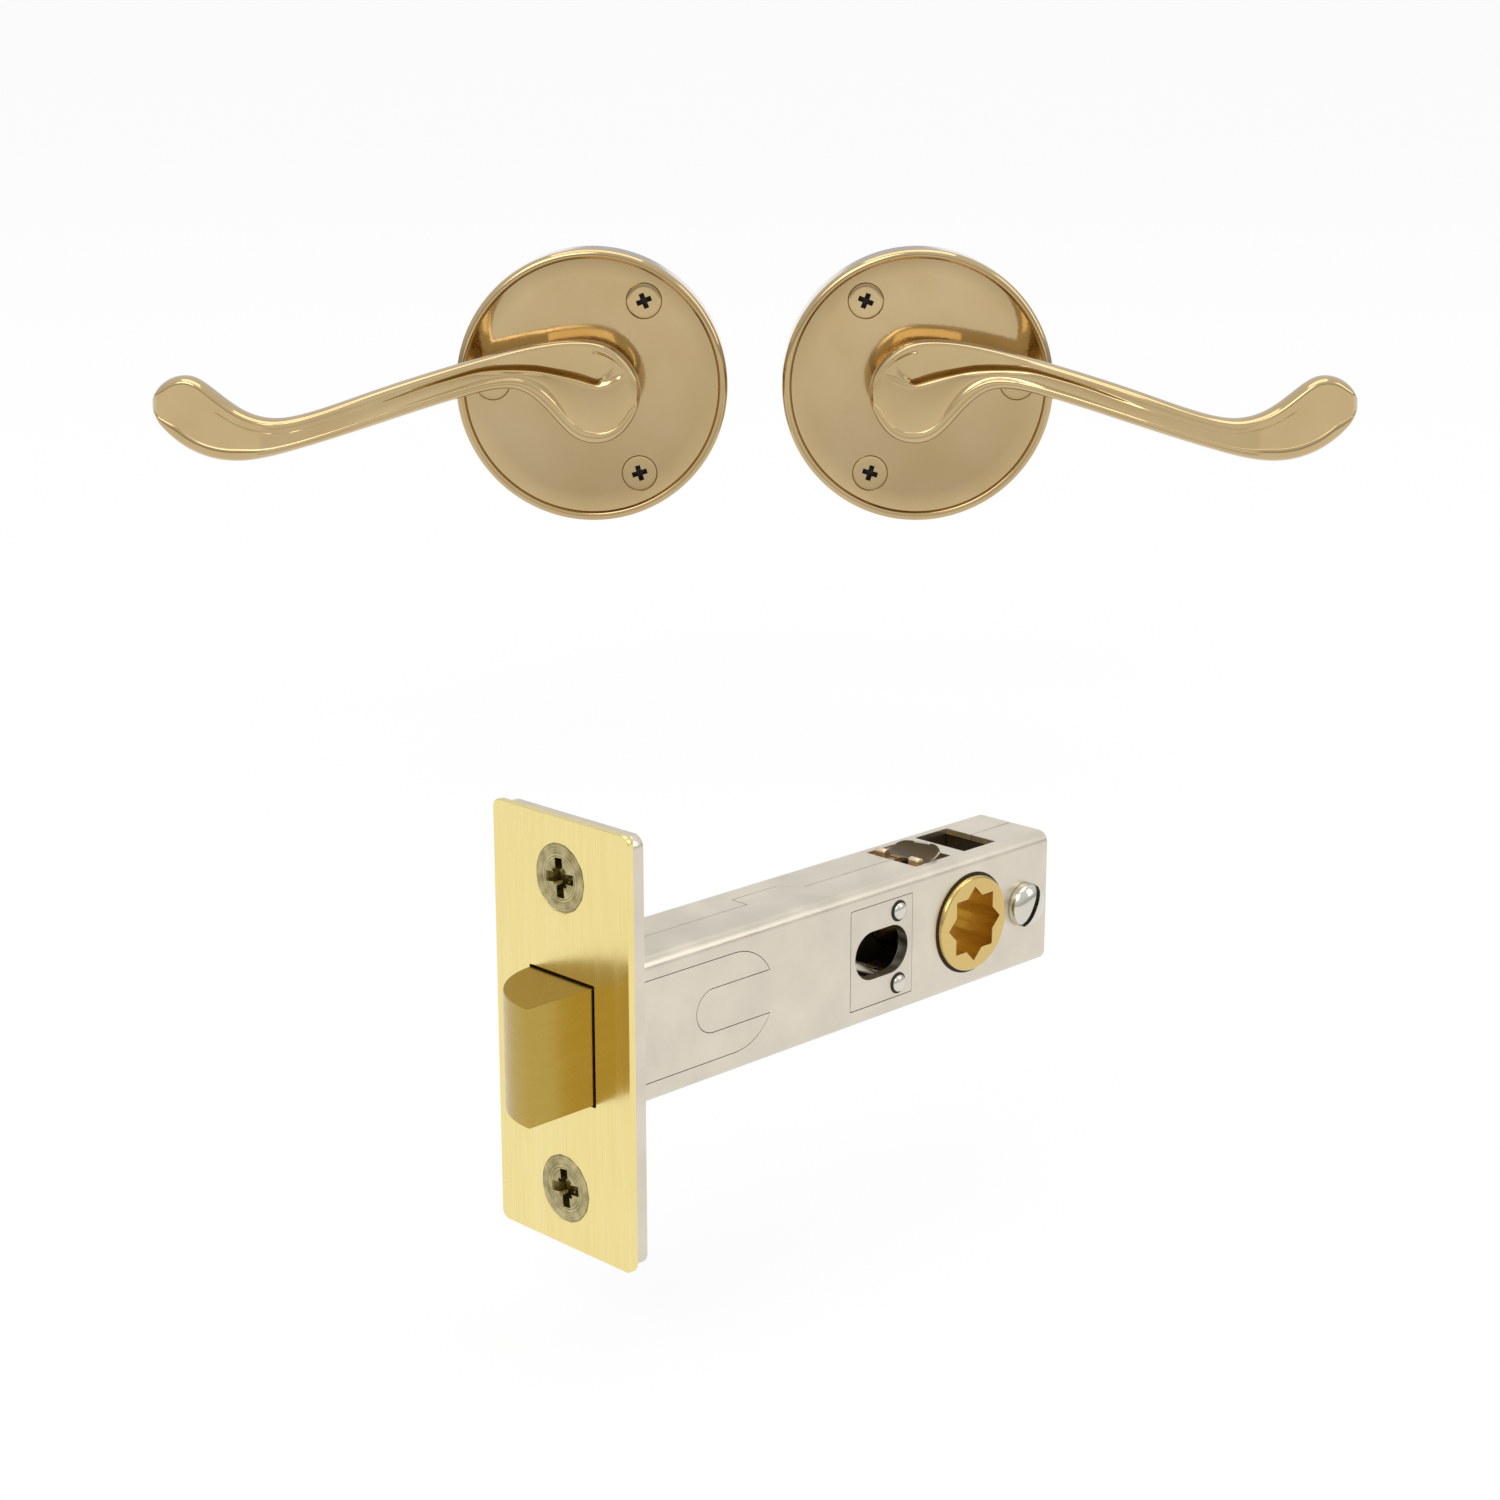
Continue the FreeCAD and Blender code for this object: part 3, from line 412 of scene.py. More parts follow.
def show(piece, finish, node):
    """Lets a piece stand for a CAD node on the node's own body."""
    flat_faces_first(piece)
    piece.data.materials.append(finish)
    body = next(name for name, members in BODIES.items() if node in members)
    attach(piece, body)
    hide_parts(node)


def deeper(colour, red, green, blue):
    """The same colour with its red, green and blue taken down to these shares."""
    return (colour[0] * red, colour[1] * green, colour[2] * blue, 1.0)


def polished_brass(name, colour, rough, smear, grain=0.0012):
    """Polished brass under clear lacquer: slow tone changes, wiping smears and a faint orange peel."""
    metal = Finish(name)
    tone = metal.spread(metal.cloud(0.018, 2.0), 0.3, 0.7)
    wiped = metal.cloud(0.006, 4.0, (1.0, 1.0, 0.25), 0.65)
    hair = metal.cloud(0.0004, 2.0, (0.06, 0.06, 1.0))
    peel = metal.cloud(grain, 2.0)
    height = peel + hair * 0.12
    return metal.surface(
        base_color=metal.blend(tone, deeper(colour, 0.90, 0.86, 0.78), colour),
        metallic=1.0,
        roughness=metal.spread(wiped, 0.42, 0.72) * smear + rough,
        coat_weight=metal.spread(wiped, 0.25, 0.6) * 0.2 + 0.35,
        coat_roughness=0.06,
        normal=metal.relief(height, 0.000012, 0.6),
    )


ROSE_RADIUS = 30.0
ROSE_FIELD = 8.2
ROSE_BORE = 8.56
CAVITY_RADIUS = 17.4
CAVITY_DEPTH = 6.1
ROSE_SCREW_CIRCLE = 22.0
ROSE_SCREW_ANGLES = (58.0, 178.0, 298.0)


def rose_form():
    """One rose, drawn for the left handle: rim, cove, field, bore and cavity, then screw holes and stops."""
    rim = 28.7
    profile = [(29.2, 0.0), (29.7, 0.1), (29.95, 0.35), (ROSE_RADIUS, 0.7), (ROSE_RADIUS, 8.2)]
    rise, fall = numpy.linspace(0.05, QUARTER, 16), numpy.linspace(0.1, QUARTER, 9)
    profile += [(rim + 1.3 * math.cos(a), 8.35 + 1.3 * math.sin(a)) for a in rise]
    profile += [(rim - 0.7 * math.sin(a), 9.0 + 0.65 * math.cos(a)) for a in fall]
    profile += [(23.9 + 4.0 * s, ROSE_FIELD + 0.62 * s ** 2) for s in numpy.linspace(1.0, 0.0, 22)]
    profile += [(23.5, ROSE_FIELD), (16.0, ROSE_FIELD), (ROSE_BORE + 0.25, ROSE_FIELD),
                (ROSE_BORE + 0.07, ROSE_FIELD - 0.07), (ROSE_BORE, ROSE_FIELD - 0.25),
                (ROSE_BORE, CAVITY_DEPTH), (CAVITY_RADIUS, CAVITY_DEPTH), (CAVITY_RADIUS, 0.0)]
    body = lathed(profile, 180)
    holes = []
    for angle in ROSE_SCREW_ANGLES:
        x, z = ring_point(ROSE_SCREW_CIRCLE, angle)
        hole = lathed([(0, -1), (2.2, -1), (2.2, 6.3), (3.96, ROSE_FIELD - 0.08),
                       (4.02, ROSE_FIELD + 0.02), (4.02, 12), (0, 12)], 56)
        holes.append(moved(hole, Matrix.Translation((x * MM, 0, z * MM))))
    stops = []
    half = 4.5
    for angle in (72.0, 168.0):
        outer = [ring_point(17.7, angle + t) for t in (-half, 0, half)]
        inner = [ring_point(15.6, angle + t) for t in (half, 0, -half)]
        stops.append(slab(outer + inner, 1.95, 3.65))
    return joined([carved(body, holes)] + stops)


rose_brass = polished_brass("rose_brass", (0.55, 0.41, 0.215, 1), 0.07, 0.06)
for hand, place in HANDLES.items():
    rose = made(hand + "_cast_rose", moved(rose_form(), place), 30)
    show(rose, rose_brass, hand + "_rose")

# Rose screws
# Three brass countersunk screws hold each rose to the door. Their flat heads are polished with the rose and
# have a small cross recess with painted shade inside; their shanks have a rolled wood thread down to the
# point.


def linear(red, green, blue):
    """A colour read from the picture, as the light it stands for."""
    levels = []
    for level in (red, green, blue):
        share = level / 255
        levels.append(share / 12.92 if share < 0.04045 else ((share + 0.055) / 1.055) ** 2.4)
    return (*levels, 1.0)


def painted_shade():
    """Painted shade for screw recesses, the floor of a slot and the gaps round parts: a dark colour in small
    patches.
    """
    shade_paint = Finish("painted_shade")
    patch = shade_paint.cloud(0.0006, 3.0)
    return shade_paint.surface(base_color=shade_paint.blend(patch, linear(22, 17, 12), linear(48, 38, 24)), roughness=0.7)


# The painted shade, used as the second material of pieces with recesses or gaps.
painted_shade_finish = painted_shade()


def threaded(radius, root, pitch, start, end):
    """A screw thread that runs from a start depth down to a point at the end depth."""
    sides = 20
    shape = ((0.0, root), (0.30, root), (0.46, radius), (0.56, radius), (0.72, root))
    run_in, point = 0.6 * pitch, 3.2 * radius
    length = start - end
    form = bmesh.new()
    rows = []
    turn = -1
    while turn * pitch < length:
        for share, reach in shape:
            row = []
            for i in range(sides):
                down = min(length, max(0.0, (turn + share + i / sides) * pitch))
                fade = min(1.0, (length - down) / point) ** 0.7
                rise = min(1.0, down / run_in)
                r = max(0.02, (root + (reach - root) * rise) * fade)
                x, z = ring_point(r, 360 * i / sides)
                row.append(form.verts.new((x * MM, -(start - down) * MM, z * MM)))
            rows.append(row)
        turn += 1
    for near, far in zip(rows, rows[1:]):
        for i in range(sides - 1):
            form.faces.new((near[i], near[i + 1], far[i + 1], far[i]))
    for k in range(len(rows) - len(shape)):
        near, far = rows[k], rows[k + 1]
        later, last = rows[k + len(shape)], rows[min(k + len(shape) + 1, len(rows) - 1)]
        if later is not last:
            form.faces.new((near[-1], later[0], last[0], far[-1]))
    bmesh.ops.remove_doubles(form, verts=form.verts, dist=1e-6)
    bmesh.ops.recalc_face_normals(form, faces=form.faces)
    return form


def cross_tool(span, width, depth, face, turn, tick=0.0):
    """The driver point that strikes a cross recess; tick is the span of a small cross between its arms."""
    forms = []
    small = 0.45 * width
    for extra, reach, wide in ((0, span, width), (90, span, width), (45, tick, small), (135, tick, small)):
        if reach <= 0:
            continue
        deep = depth if extra % 90 == 0 else 0.5 * depth
        mouth = oblong(-reach / 2, reach / 2, -wide / 2, wide / 2)
        floor = oblong(-0.36 * reach, 0.36 * reach, -0.38 * wide, 0.38 * wide)
        form = between((face + 0.1, mouth), (face - deep, floor))
        forms.append(moved(form, Matrix.Rotation(-math.radians(turn + extra), 4, "Y")))
    return forms


def screw_form(head, face, tools, dark):
    """A countersunk head with its recess, whose faces out to the radius dark take the second material,
    painted shade.
    """
    foot = face - head
    profile = [(0, foot + 0.6), (1.9, foot + 1.2), (1.9, foot + 1.9), (head - 0.05, face - 0.28),
               (head, face - 0.2), (head - 0.06, face - 0.06)]
    profile += [(head * s, face) for s in numpy.linspace(0.9, 0.0, 7)]
    form = carved(lathed(profile, 64), tools)
    # Faces inside the recess, out to the radius dark, get painted shade.
    for side in form.faces:
        middle = side.calc_center_median() / MM
        if math.hypot(middle.x, middle.z) < dark and foot + 1.3 < -middle.y < face - 0.02:
            side.material_index = 1
    return form


def show_with_painted_shade(piece, finish, node):
    """Shows a piece whose faces on the second material carry painted shade."""
    show(piece, finish, node)
    piece.data.materials.append(painted_shade_finish)


rose_screw_brass = polished_brass("rose_screw_brass", (0.57, 0.43, 0.225, 1), 0.08, 0.08, 0.0006)
for hand, place in HANDLES.items():
    screws = []
    for angle, turn in zip(ROSE_SCREW_ANGLES, (22.0, 61.0, 17.0)):
        x, z = ring_point(ROSE_SCREW_CIRCLE, angle)
        tools = cross_tool(span=3.5, width=1.15, depth=1.6, face=ROSE_FIELD, turn=turn)
        # Painted shade fills each recess out to 1.9 mm from the screw's axis.
        head_form = screw_form(head=3.8, face=ROSE_FIELD, tools=tools, dark=1.9)
        shank = threaded(radius=2.1, root=1.5, pitch=1.3, start=6.2, end=-16.8)
        screws.append(moved(joined([head_form, shank]), Matrix.Translation((x * MM, 0, z * MM))))
    piece = made(hand + "_turned_rose_screws", moved(joined(screws), place), 30)
    show_with_painted_shade(piece, rose_screw_brass, hand + "_rose_screws")

# Levers
# One brass casting each, polished by hand: a scrolled lobe over the rose, an arm with two facets between
# beaded edges, and a flat teardrop tip. The upper facet ends over the lobe in a raised tongue, with a wall
# down to the lower one. The neck behind is turned, its tail is flatted, and its square socket is broached.

REACH = 92.0
INNER_END = 11.3
TOP_LINE = [
    (-92.0, -0.4), (-91.2, 2.0), (-89.0, 4.3), (-85.5, 5.7), (-82.0, 5.2), (-78.0, 2.4), (-73.0, -1.2),
    (-66.0, -3.2), (-58.0, -1.9), (-45.0, 2.2), (-27.0, 7.3), (-12.0, 10.9), (-3.0, 11.9), (3.8, 11.0),
    (8.2, 7.8), (10.6, 4.0), (11.3, 0.4)]
BOTTOM_LINE = [
    (-92.0, -0.4), (-91.4, -2.8), (-89.0, -6.2), (-84.5, -9.7), (-78.5, -11.9), (-72.0, -12.2),
    (-62.0, -10.1), (-45.0, -5.2), (-27.0, -0.1), (-19.5, 1.4), (-13.5, 0.5), (-9.0, -3.4), (-4.5, -8.3),
    (1.5, -10.6), (6.5, -9.0), (10.0, -4.6), (11.3, 0.4)]
CREST_DEPTH = [
    (-92.0, 36.0), (-80.0, 38.0), (-62.0, 38.0), (-45.0, 34.5), (-28.0, 29.0), (-12.0, 25.6), (0.0, 25.0),
    (11.3, 25.0)]
WALL_FOOT = [
    (-92.0, -0.9), (-84.0, -0.4), (-78.9, -1.3), (-74.6, -3.9), (-70.1, -5.7), (-66.1, -6.4), (-61.9, -6.1),
    (-52.0, -3.4), (-41.0, 0.2), (-34.0, 2.5), (-28.0, 4.1), (-23.6, 5.0), (-19.1, 5.3), (-14.5, 5.2),
    (-10.9, 4.9), (-7.4, 4.2), (-3.8, 3.2), (-1.0, 2.35), (2.14, 1.8), (4.2, 2.0), (6.0, 2.7), (7.4, 3.9),
    (8.0, 5.4), (8.2, 5.9), (11.3, 2.5)]
TONGUE_EDGE = [
    (-92.0, -0.4), (-84.0, 0.1), (-78.9, -0.9), (-74.6, -3.5), (-70.1, -5.3), (-66.1, -6.0), (-61.9, -5.7),
    (-52.0, -2.9), (-41.0, 0.9), (-34.0, 3.4), (-28.0, 5.3), (-23.6, 6.5), (-19.1, 7.0), (-14.5, 7.0),
    (-10.9, 6.8), (-7.4, 6.15), (-3.8, 5.5), (-1.0, 4.8), (1.2, 3.95), (2.4, 3.7), (3.8, 4.5), (5.3, 6.1),
    (5.8, 7.1), (8.0, 6.2), (11.3, 2.6)]
TONGUE_TOP = [
    (-92.0, 20.0), (-14.0, 14.0), (-6.0, 12.0), (-1.5, 11.3), (1.0, 10.9), (2.6, 10.3), (3.7, 9.9),
    (5.1, 8.7), (5.6, 7.6), (5.8, 7.3), (8.0, 6.3), (11.3, 2.7)]
LOWER_EDGE_ABOVE = [
    (-92.0, 20.0), (-14.0, 15.0), (-6.0, 12.6), (-1.5, 11.9), (1.0, 11.3), (3.7, 10.4), (5.6, 9.1),
    (7.15, 8.0), (7.8, 6.9), (8.1, 6.4), (11.3, 2.8)]
BEAD_BELOW = ((-92.0, -70.0, -45.0, -14.0, 0.0, 9.0, 11.3), (3.0, 2.9, 2.4, 2.5, 2.8, 2.0, 1.9))
BEAD_ABOVE = ((-92.0, -70.0, -45.0, -14.5, -5.0, 11.3), (2.4, 2.2, 1.9, 1.3, 1.0, 1.6))
BAND_DEPTH = 3.0
BACK_DEPTH = 6.3
WALL_DROP = 1.7
CHANNEL_DEPTH = 0.38
BEAD_RISE = 0.30


def along(x):
    """How far places are along the lever. The measure is stretched at both rounded ends."""
    share = (numpy.clip(x, -REACH, INNER_END) + REACH) / (INNER_END + REACH)
    return 40 * numpy.arccos(numpy.clip(1 - 2 * share, -1, 1))


def smooth_curve(points, wanted):
    """Heights, at the wanted places, of the smooth curve through drawn points."""
    t = along(numpy.array([p[0] for p in points]))
    z = numpy.array([p[1] for p in points])
    gap = numpy.diff(t)
    rows = numpy.eye(len(t))
    right = numpy.zeros(len(t))
    for i in range(1, len(t) - 1):
        rows[i, i - 1:i + 2] = gap[i - 1], 2 * (gap[i - 1] + gap[i]), gap[i]
        right[i] = 6 * ((z[i + 1] - z[i]) / gap[i] - (z[i] - z[i - 1]) / gap[i - 1])
    bend = numpy.linalg.solve(rows, right)
    at = along(wanted)
    k = numpy.clip(numpy.searchsorted(t, at) - 1, 0, len(t) - 2)
    a, b = t[k + 1] - at, at - t[k]
    h = gap[k]
    return (bend[k] * a ** 3 + bend[k + 1] * b ** 3) / (6 * h) + (z[k] / h - bend[k] * h / 6) * a + \
        (z[k + 1] / h - bend[k + 1] * h / 6) * b


def straight_curve(points, wanted):
    """Heights, at the wanted places, of the chain of straight runs through drawn points."""
    return numpy.interp(along(wanted), along(numpy.array([p[0] for p in points])), [p[1] for p in points])


def ease(value, zero, one):
    """Rises from 0 to 1 as value goes from zero to one, without a corner at either end."""
    share = numpy.clip((value - zero) / (one - zero), 0, 1)
    return share * share * (3 - 2 * share)


def bead_width(widths, x, slope, height):
    """How much of a section's height a bead takes: more on a steep edge, less on a low section."""
    return min(numpy.interp(x, *widths) * min(math.hypot(1, slope), 1.8), 0.27 * height)


def lever_keys(x, low, high, foot, top, cap, upper, slope_low, slope_high):
    """Heights, from low to high, at which the front of a section changes: bead, facet, wall, tongue, bead."""
    facet_low = low + bead_width(BEAD_BELOW, x, slope_low, high - low)
    facet_high = high - bead_width(BEAD_ABOVE, x, slope_high, high - low)
    room = facet_high - facet_low
    least = 0.03
    keys = [facet_low]
    for wanted in (foot, top, cap, upper):
        keys.append(max(wanted, keys[-1] + least * room))
    for k, left in ((4, 1), (3, 2), (2, 3), (1, 4)):
        keys[k] = min(keys[k], facet_high - least * room * left)
    return keys + [facet_high]


def shares(count):
    """Even steps from 0 towards 1, without the last."""
    return numpy.linspace(0, 1, count)[:-1]


def lever_skin():
    """The scroll lever's skin: sections across it, each a closed row of points, joined along its length."""
    turns = numpy.linspace(0.012, math.pi - 0.012, 230)
    stations = -REACH + (INNER_END + REACH) * (1 - numpy.cos(turns)) / 2
    low, high = smooth_curve(BOTTOM_LINE, stations), smooth_curve(TOP_LINE, stations)
    foot, top = smooth_curve(WALL_FOOT, stations), straight_curve(TONGUE_EDGE, stations)
    cap, upper = straight_curve(TONGUE_TOP, stations), straight_curve(LOWER_EDGE_ABOVE, stations)
    widest = smooth_curve(CREST_DEPTH, stations) - BAND_DEPTH
    slope_low, slope_high = numpy.gradient(low, stations), numpy.gradient(high, stations)
    lines = zip(stations, low, high, foot, top, cap, upper, slope_low, slope_high)
    padded = numpy.pad([lever_keys(*line) for line in lines], ((3, 3), (0, 0)), mode="edge")
    weights = numpy.hanning(9)[1:-1]
    weights = weights / weights.sum()
    key_lines = numpy.array([numpy.convolve(column, weights, "valid") for column in padded.T]).T
    form = bmesh.new()
    rows = []
    for i, x in enumerate(stations):
        height = high[i] - low[i]
        front = widest[i] + min(BAND_DEPTH, 0.38 * height)
        back = widest[i] - min(BACK_DEPTH, 0.47 * height)
        rise = BEAD_RISE * float(ease(height, 1.0, 9.0))
        facet_low, base, edge, cap_end, rim, facet_high = key_lines[i]
        below, above = facet_low - low[i], high[i] - facet_high
        arm = float(ease(x, -60.0, -30.0))
        lobe = float(ease(x, -30.0, -14.0) * ease(x, 10.5, 7.0))
        wall = (WALL_DROP - CHANNEL_DEPTH) * float(ease(x, -50.0, -10.0) * ease(x, 3.4, 1.6))
        wall += 0.12 * float(ease(x, -80.0, -70.0) * ease(x, -10.0, -30.0))
        channel = CHANNEL_DEPTH * float(ease(x, -30.0, -10.0) * ease(x, 8.2, 6.8))
        above_tongue = CHANNEL_DEPTH * float(ease(x, 0.8, 3.2) * ease(x, 8.2, 6.8))
        sunk = CHANNEL_DEPTH * float(ease(x, 4.9, 5.9) * ease(x, 8.2, 6.8))
        deepest = 0.5 + 0.42 * float(ease(x, 4.0, 2.0))
        bed = front - rise
        hollow = 0.16 * arm * (1 - lobe)
        lifted = (rise - 0.07) * (1 - float(ease(x, 2.0, 6.0)))
        row = []

        def spot(z, depth):
            row.append((x, z, depth))

        for s in shares(10):
            a = s * QUARTER
            spot(low[i] + below * 0.62 * (1 - math.cos(a)), widest[i] + (front - widest[i]) * math.sin(a))
        for s in shares(6):
            a = s * QUARTER
            spot(low[i] + below * (0.62 + 0.38 * math.sin(a)), front - rise * (1 - math.cos(a)))
        for s in shares(16):
            dish = 4 * s * (1 - s)
            spot(facet_low + (base - facet_low) * s, bed - hollow * dish - 0.42 * lobe * dish)
        for s in list(shares(10) * deepest) + [deepest]:
            fall = float(ease(s, 0.0, deepest))
            spot(base + (edge - base) * s, bed - (wall + channel) * fall)
        for s in (0.25, 0.5, 0.75):
            spot(base + (edge - base) * (deepest + (1 - deepest) * s),
                 bed - (wall + channel) * (1 - s) + (lifted - sunk) * s)
        for s in shares(12):
            dish = 4 * s * (1 - s)
            spot(edge + (cap_end - edge) * s, bed + lifted - sunk - 0.5 * hollow * dish)
        for s in shares(8):
            spot(cap_end + (rim - cap_end) * s,
                 bed + lifted - sunk * (1 - s) - (above_tongue - 0.6 * sunk) * 4 * s * (1 - s))
        for s in shares(4):
            spot(rim + (facet_high - rim) * s, bed + lifted)
        for s in shares(6):
            a = s * QUARTER
            spot(facet_high + above * 0.38 * (1 - math.cos(a)), front - (rise - lifted) * (1 - math.sin(a)))
        for s in shares(11):
            a = s * QUARTER
            spot(facet_high + above * (0.38 + 0.62 * math.sin(a)),
                 widest[i] + (front - widest[i]) * math.cos(a))
        full = (widest[i] - back) * 4 / 3
        for s in shares(26):
            z = (1 - s) ** 2 * (1 + 2 * s) * high[i] + s * s * (3 - 2 * s) * low[i]
            spot(z, widest[i] - 3 * s * (1 - s) * full)
        rows.append([form.verts.new((px * MM, -depth * MM, z * MM)) for px, z, depth in row])
    count = len(rows[0])
    for near, far in zip(rows, rows[1:]):
        for k in range(count):
            j = (k + 1) % count
            form.faces.new((near[k], far[k], far[j], near[j]))
    form.faces.new(rows[0])
    form.faces.new(rows[-1][::-1])
    bmesh.ops.recalc_face_normals(form, faces=form.faces)
    return form


GRUB_PLACE = Matrix.Translation((0, -12.2 * MM, 0)) @ Matrix.Rotation(math.radians(90), 4, "X")
HALF_SQUARE = 3.85


def neck_form():
    """The turned neck with its flatted tail, open behind for the square spindle and drilled for its screw."""
    neck = lathed([(0, 18.4), (7.2, 18.4), (8.0, 17.9), (8.5, 16.6), (8.5, 6.3), (8.3, 6.1), (7.4, 6.1),
                   (7.4, 1.6), (7.1, 1.3), (0, 1.3)], 72)
    flats = [slab(oblong(side * 6.2, side * 9, -9, 9), 0, 5.9) for side in (-1, 1)]
    socket = slab(oblong(-HALF_SQUARE, HALF_SQUARE, -HALF_SQUARE, HALF_SQUARE), 0, 16.3)
    hole = lathed(oblong(0, 2.0, HALF_SQUARE, 9.5), 32)
    return carved(neck, flats + [socket, moved(hole, GRUB_PLACE)])


lever_brass = polished_brass("lever_brass", (0.57, 0.43, 0.225, 1), 0.08, 0.09, 0.0022)
for hand, place in HANDLES.items():
    lever = made(hand + "_scroll_lever", moved(joined([lever_skin(), neck_form()]), place), 38)
    show(lever, lever_brass, hand + "_lever")

# Grub screws
# A small black steel set screw in the underside of each neck grips the spindle. It has a six-sided key
# socket in its outer end and presses on the square with the other.


def steel(name, colour, rough, grain, pull=(1.0, 1.0, 1.0), depth=0.000008):
    """Plain or plated steel with a fine worked surface, drawn out along the axes whose pull is small."""
    metal = Finish(name)
    mottle = metal.cloud(0.007, 3.0)
    worked = metal.cloud(grain, 3.0, pull, 0.6)
    tone = metal.spread(mottle, 0.3, 0.7)
    return metal.surface(
        base_color=metal.blend(tone, deeper(colour, 0.86, 0.86, 0.86), colour),
        metallic=1.0,
        roughness=metal.spread(mottle, 0.35, 0.75) * 0.10 + (worked * 0.08 + rough),
        normal=metal.relief(worked, depth, 0.5),
    )


grub_steel = steel("grub_steel", linear(70, 68, 66), 0.35, 0.0005)
for hand, place in HANDLES.items():
    plug = lathed([(0, 3.95), (1.7, 3.95), (1.95, 4.2), (1.95, 7.9), (1.75, 8.1), (0, 8.1)], 32)
    key = lathed(oblong(0, 1.25, 6.3, 9), 6)
    screw = made(hand + "_key_grub_screw", moved(carved(plug, [key]), place @ GRUB_PLACE), 30)
    show(screw, grub_steel, hand + "_grub_screw")

# Backing plates, drivers, return springs and spindle
# Behind each rose: a pressed steel plate that closes it, a stamped driver on the lever's tail, and two turns
# of square spring wire. A zinc-plated square spindle is held in the left lever, to go through the latch.


def softened(form, width, angle, segments=2):
    """A form whose sharp edges are rounded over by a small width, in millimetres."""
    bmesh.ops.dissolve_limit(form, angle_limit=math.radians(0.4), verts=form.verts, edges=form.edges,
                             delimit={"MATERIAL"})
    edge_rule = {"width": width * MM, "segments": segments, "limit_method": "ANGLE",
                 "angle_limit": math.radians(angle), "use_clamp_overlap": False, "miter_outer": "MITER_ARC",
                 "harden_normals": False}
    return worked_mesh(made("blank", form), [("BEVEL", edge_rule)])


def eased(node, width, finish, angle=28.0):
    """A CAD node with its sharp edges rounded over, shown in the node's place."""
    source = frame["nodes"][node]
    form = bmesh.new()
    form.from_mesh(source.data)
    form.transform(source.matrix_world)
    bmesh.ops.remove_doubles(form, verts=form.verts, dist=1e-6)
    piece = made(node + "_worked", softened(form, width, angle), 34)
    show(piece, finish, node)
    return piece


inner_steel = steel("inner_steel", linear(168, 164, 156), 0.28, 0.0006)
spring_steel = steel("spring_steel", linear(120, 118, 116), 0.22, 0.0004)
for hand in HANDLES:
    eased(hand + "_backing_plate", 0.15, inner_steel)
    eased(hand + "_driver", 0.12, inner_steel)
    eased(hand + "_return_spring", 0.10, spring_steel, 60)
eased("spindle", 0.35, steel("spindle_steel", linear(176, 176, 170), 0.30, 0.0010))

# Face cover
# A thin solid brass plate that hides the forend, brushed from top to bottom and lacquered, and left bare of
# any mark. Its two countersinks take the plate screws.


def brushed_brass(name, colour, pull, coat):
    """Brass brushed along the axes whose pull is small: streaks of tone, gloss and relief."""
    metal = Finish(name)
    streak = metal.cloud(0.00022, 3.0, pull, 0.7)
    broad = metal.cloud(0.0016, 2.0, pull, 0.5)
    tone = metal.cloud(0.014, 2.0)
    mix = metal.spread(streak * 0.45 + (broad * 0.35 + tone * 0.2), 0.36, 0.62)
    return metal.surface(
        base_color=metal.blend(mix, deeper(colour, 0.93, 0.90, 0.80), colour),
        metallic=1.0,
        roughness=metal.spread(broad, 0.3, 0.7) * 0.08 + 0.22,
        coat_weight=coat,
        coat_roughness=0.12,
        normal=metal.relief(streak + broad * 0.5, 0.000010, 0.55),
    )


cover_brass = brushed_brass("cover_brass", (0.90, 0.76, 0.34, 1), (1.0, 1.0, 0.02), 0.2)
PLATE_SCREW_RISE = 20.65
FACING = Matrix.Rotation(math.radians(-90), 4, "Z")


def round_sinks(piece, rim, face):
    """Cuts the two countersinks of a plate truly round: rim is their radius at the face."""
    form = bmesh.new()
    form.from_mesh(piece.data)
    above, below = 0.5, 1.6
    cones = []
    for z in (PLATE_SCREW_RISE, -PLATE_SCREW_RISE):
        cone = lathed([(0, face + above), (rim + above, face + above), (rim - below, face - below),
                       (0, face - below)], 96)
        cones.append(moved(cone, Matrix.Translation((0, 0, z * MM)) @ FACING))
    carved(form, cones).to_mesh(piece.data)


round_sinks(eased("face_cover", 0.14, cover_brass), 4.60, 3.0)

# Forend
# Bright nickel-plated steel behind the cover. A forked tongue is folded back from it along each side of the
# case, into the case's openings.

forend_nickel = steel("forend_nickel", linear(226, 217, 200), 0.24, 0.0006, (0.15, 1.0, 1.0), 0.000006)
eased("forend", 0.10, forend_nickel)

# Plate screws
# Two brass-plated wood screws with swirled heads hold cover and forend to the door's edge. Their cross
# recess has a small square cross between its arms, with painted shade at its middle.


def swirled_brass():
    """Turned plating: fine rings about each screw's own axis, seen in tone and relief."""
    metal = Finish("plate_screw_brass")
    place = metal.place((1.0, 1.0, 1.0))
    up = metal.node("ShaderNodeSeparateXYZ", None, {0: place}, 2)
    aside = metal.node("ShaderNodeSeparateXYZ", None, {0: place}, 1)
    lift = up.worked("ABSOLUTE", up) - PLATE_SCREW_RISE * MM
    reach = (lift * lift + aside * aside) ** 0.5
    sockets = {"W": reach, "Scale": 5200.0, "Detail": 2.0}
    ring = metal.node("ShaderNodeTexNoise", {"noise_dimensions": "1D"}, sockets, "Fac")
    stain = metal.cloud(0.0016, 3.0)
    mix = metal.spread(ring * 0.5 + stain * 0.5, 0.36, 0.62)
    return metal.surface(
        base_color=metal.blend(mix, linear(128, 116, 76), linear(196, 184, 138)),
        metallic=1.0,
        roughness=ring * 0.12 + 0.18,
        normal=metal.relief(ring, 0.00002, 0.6),
    )


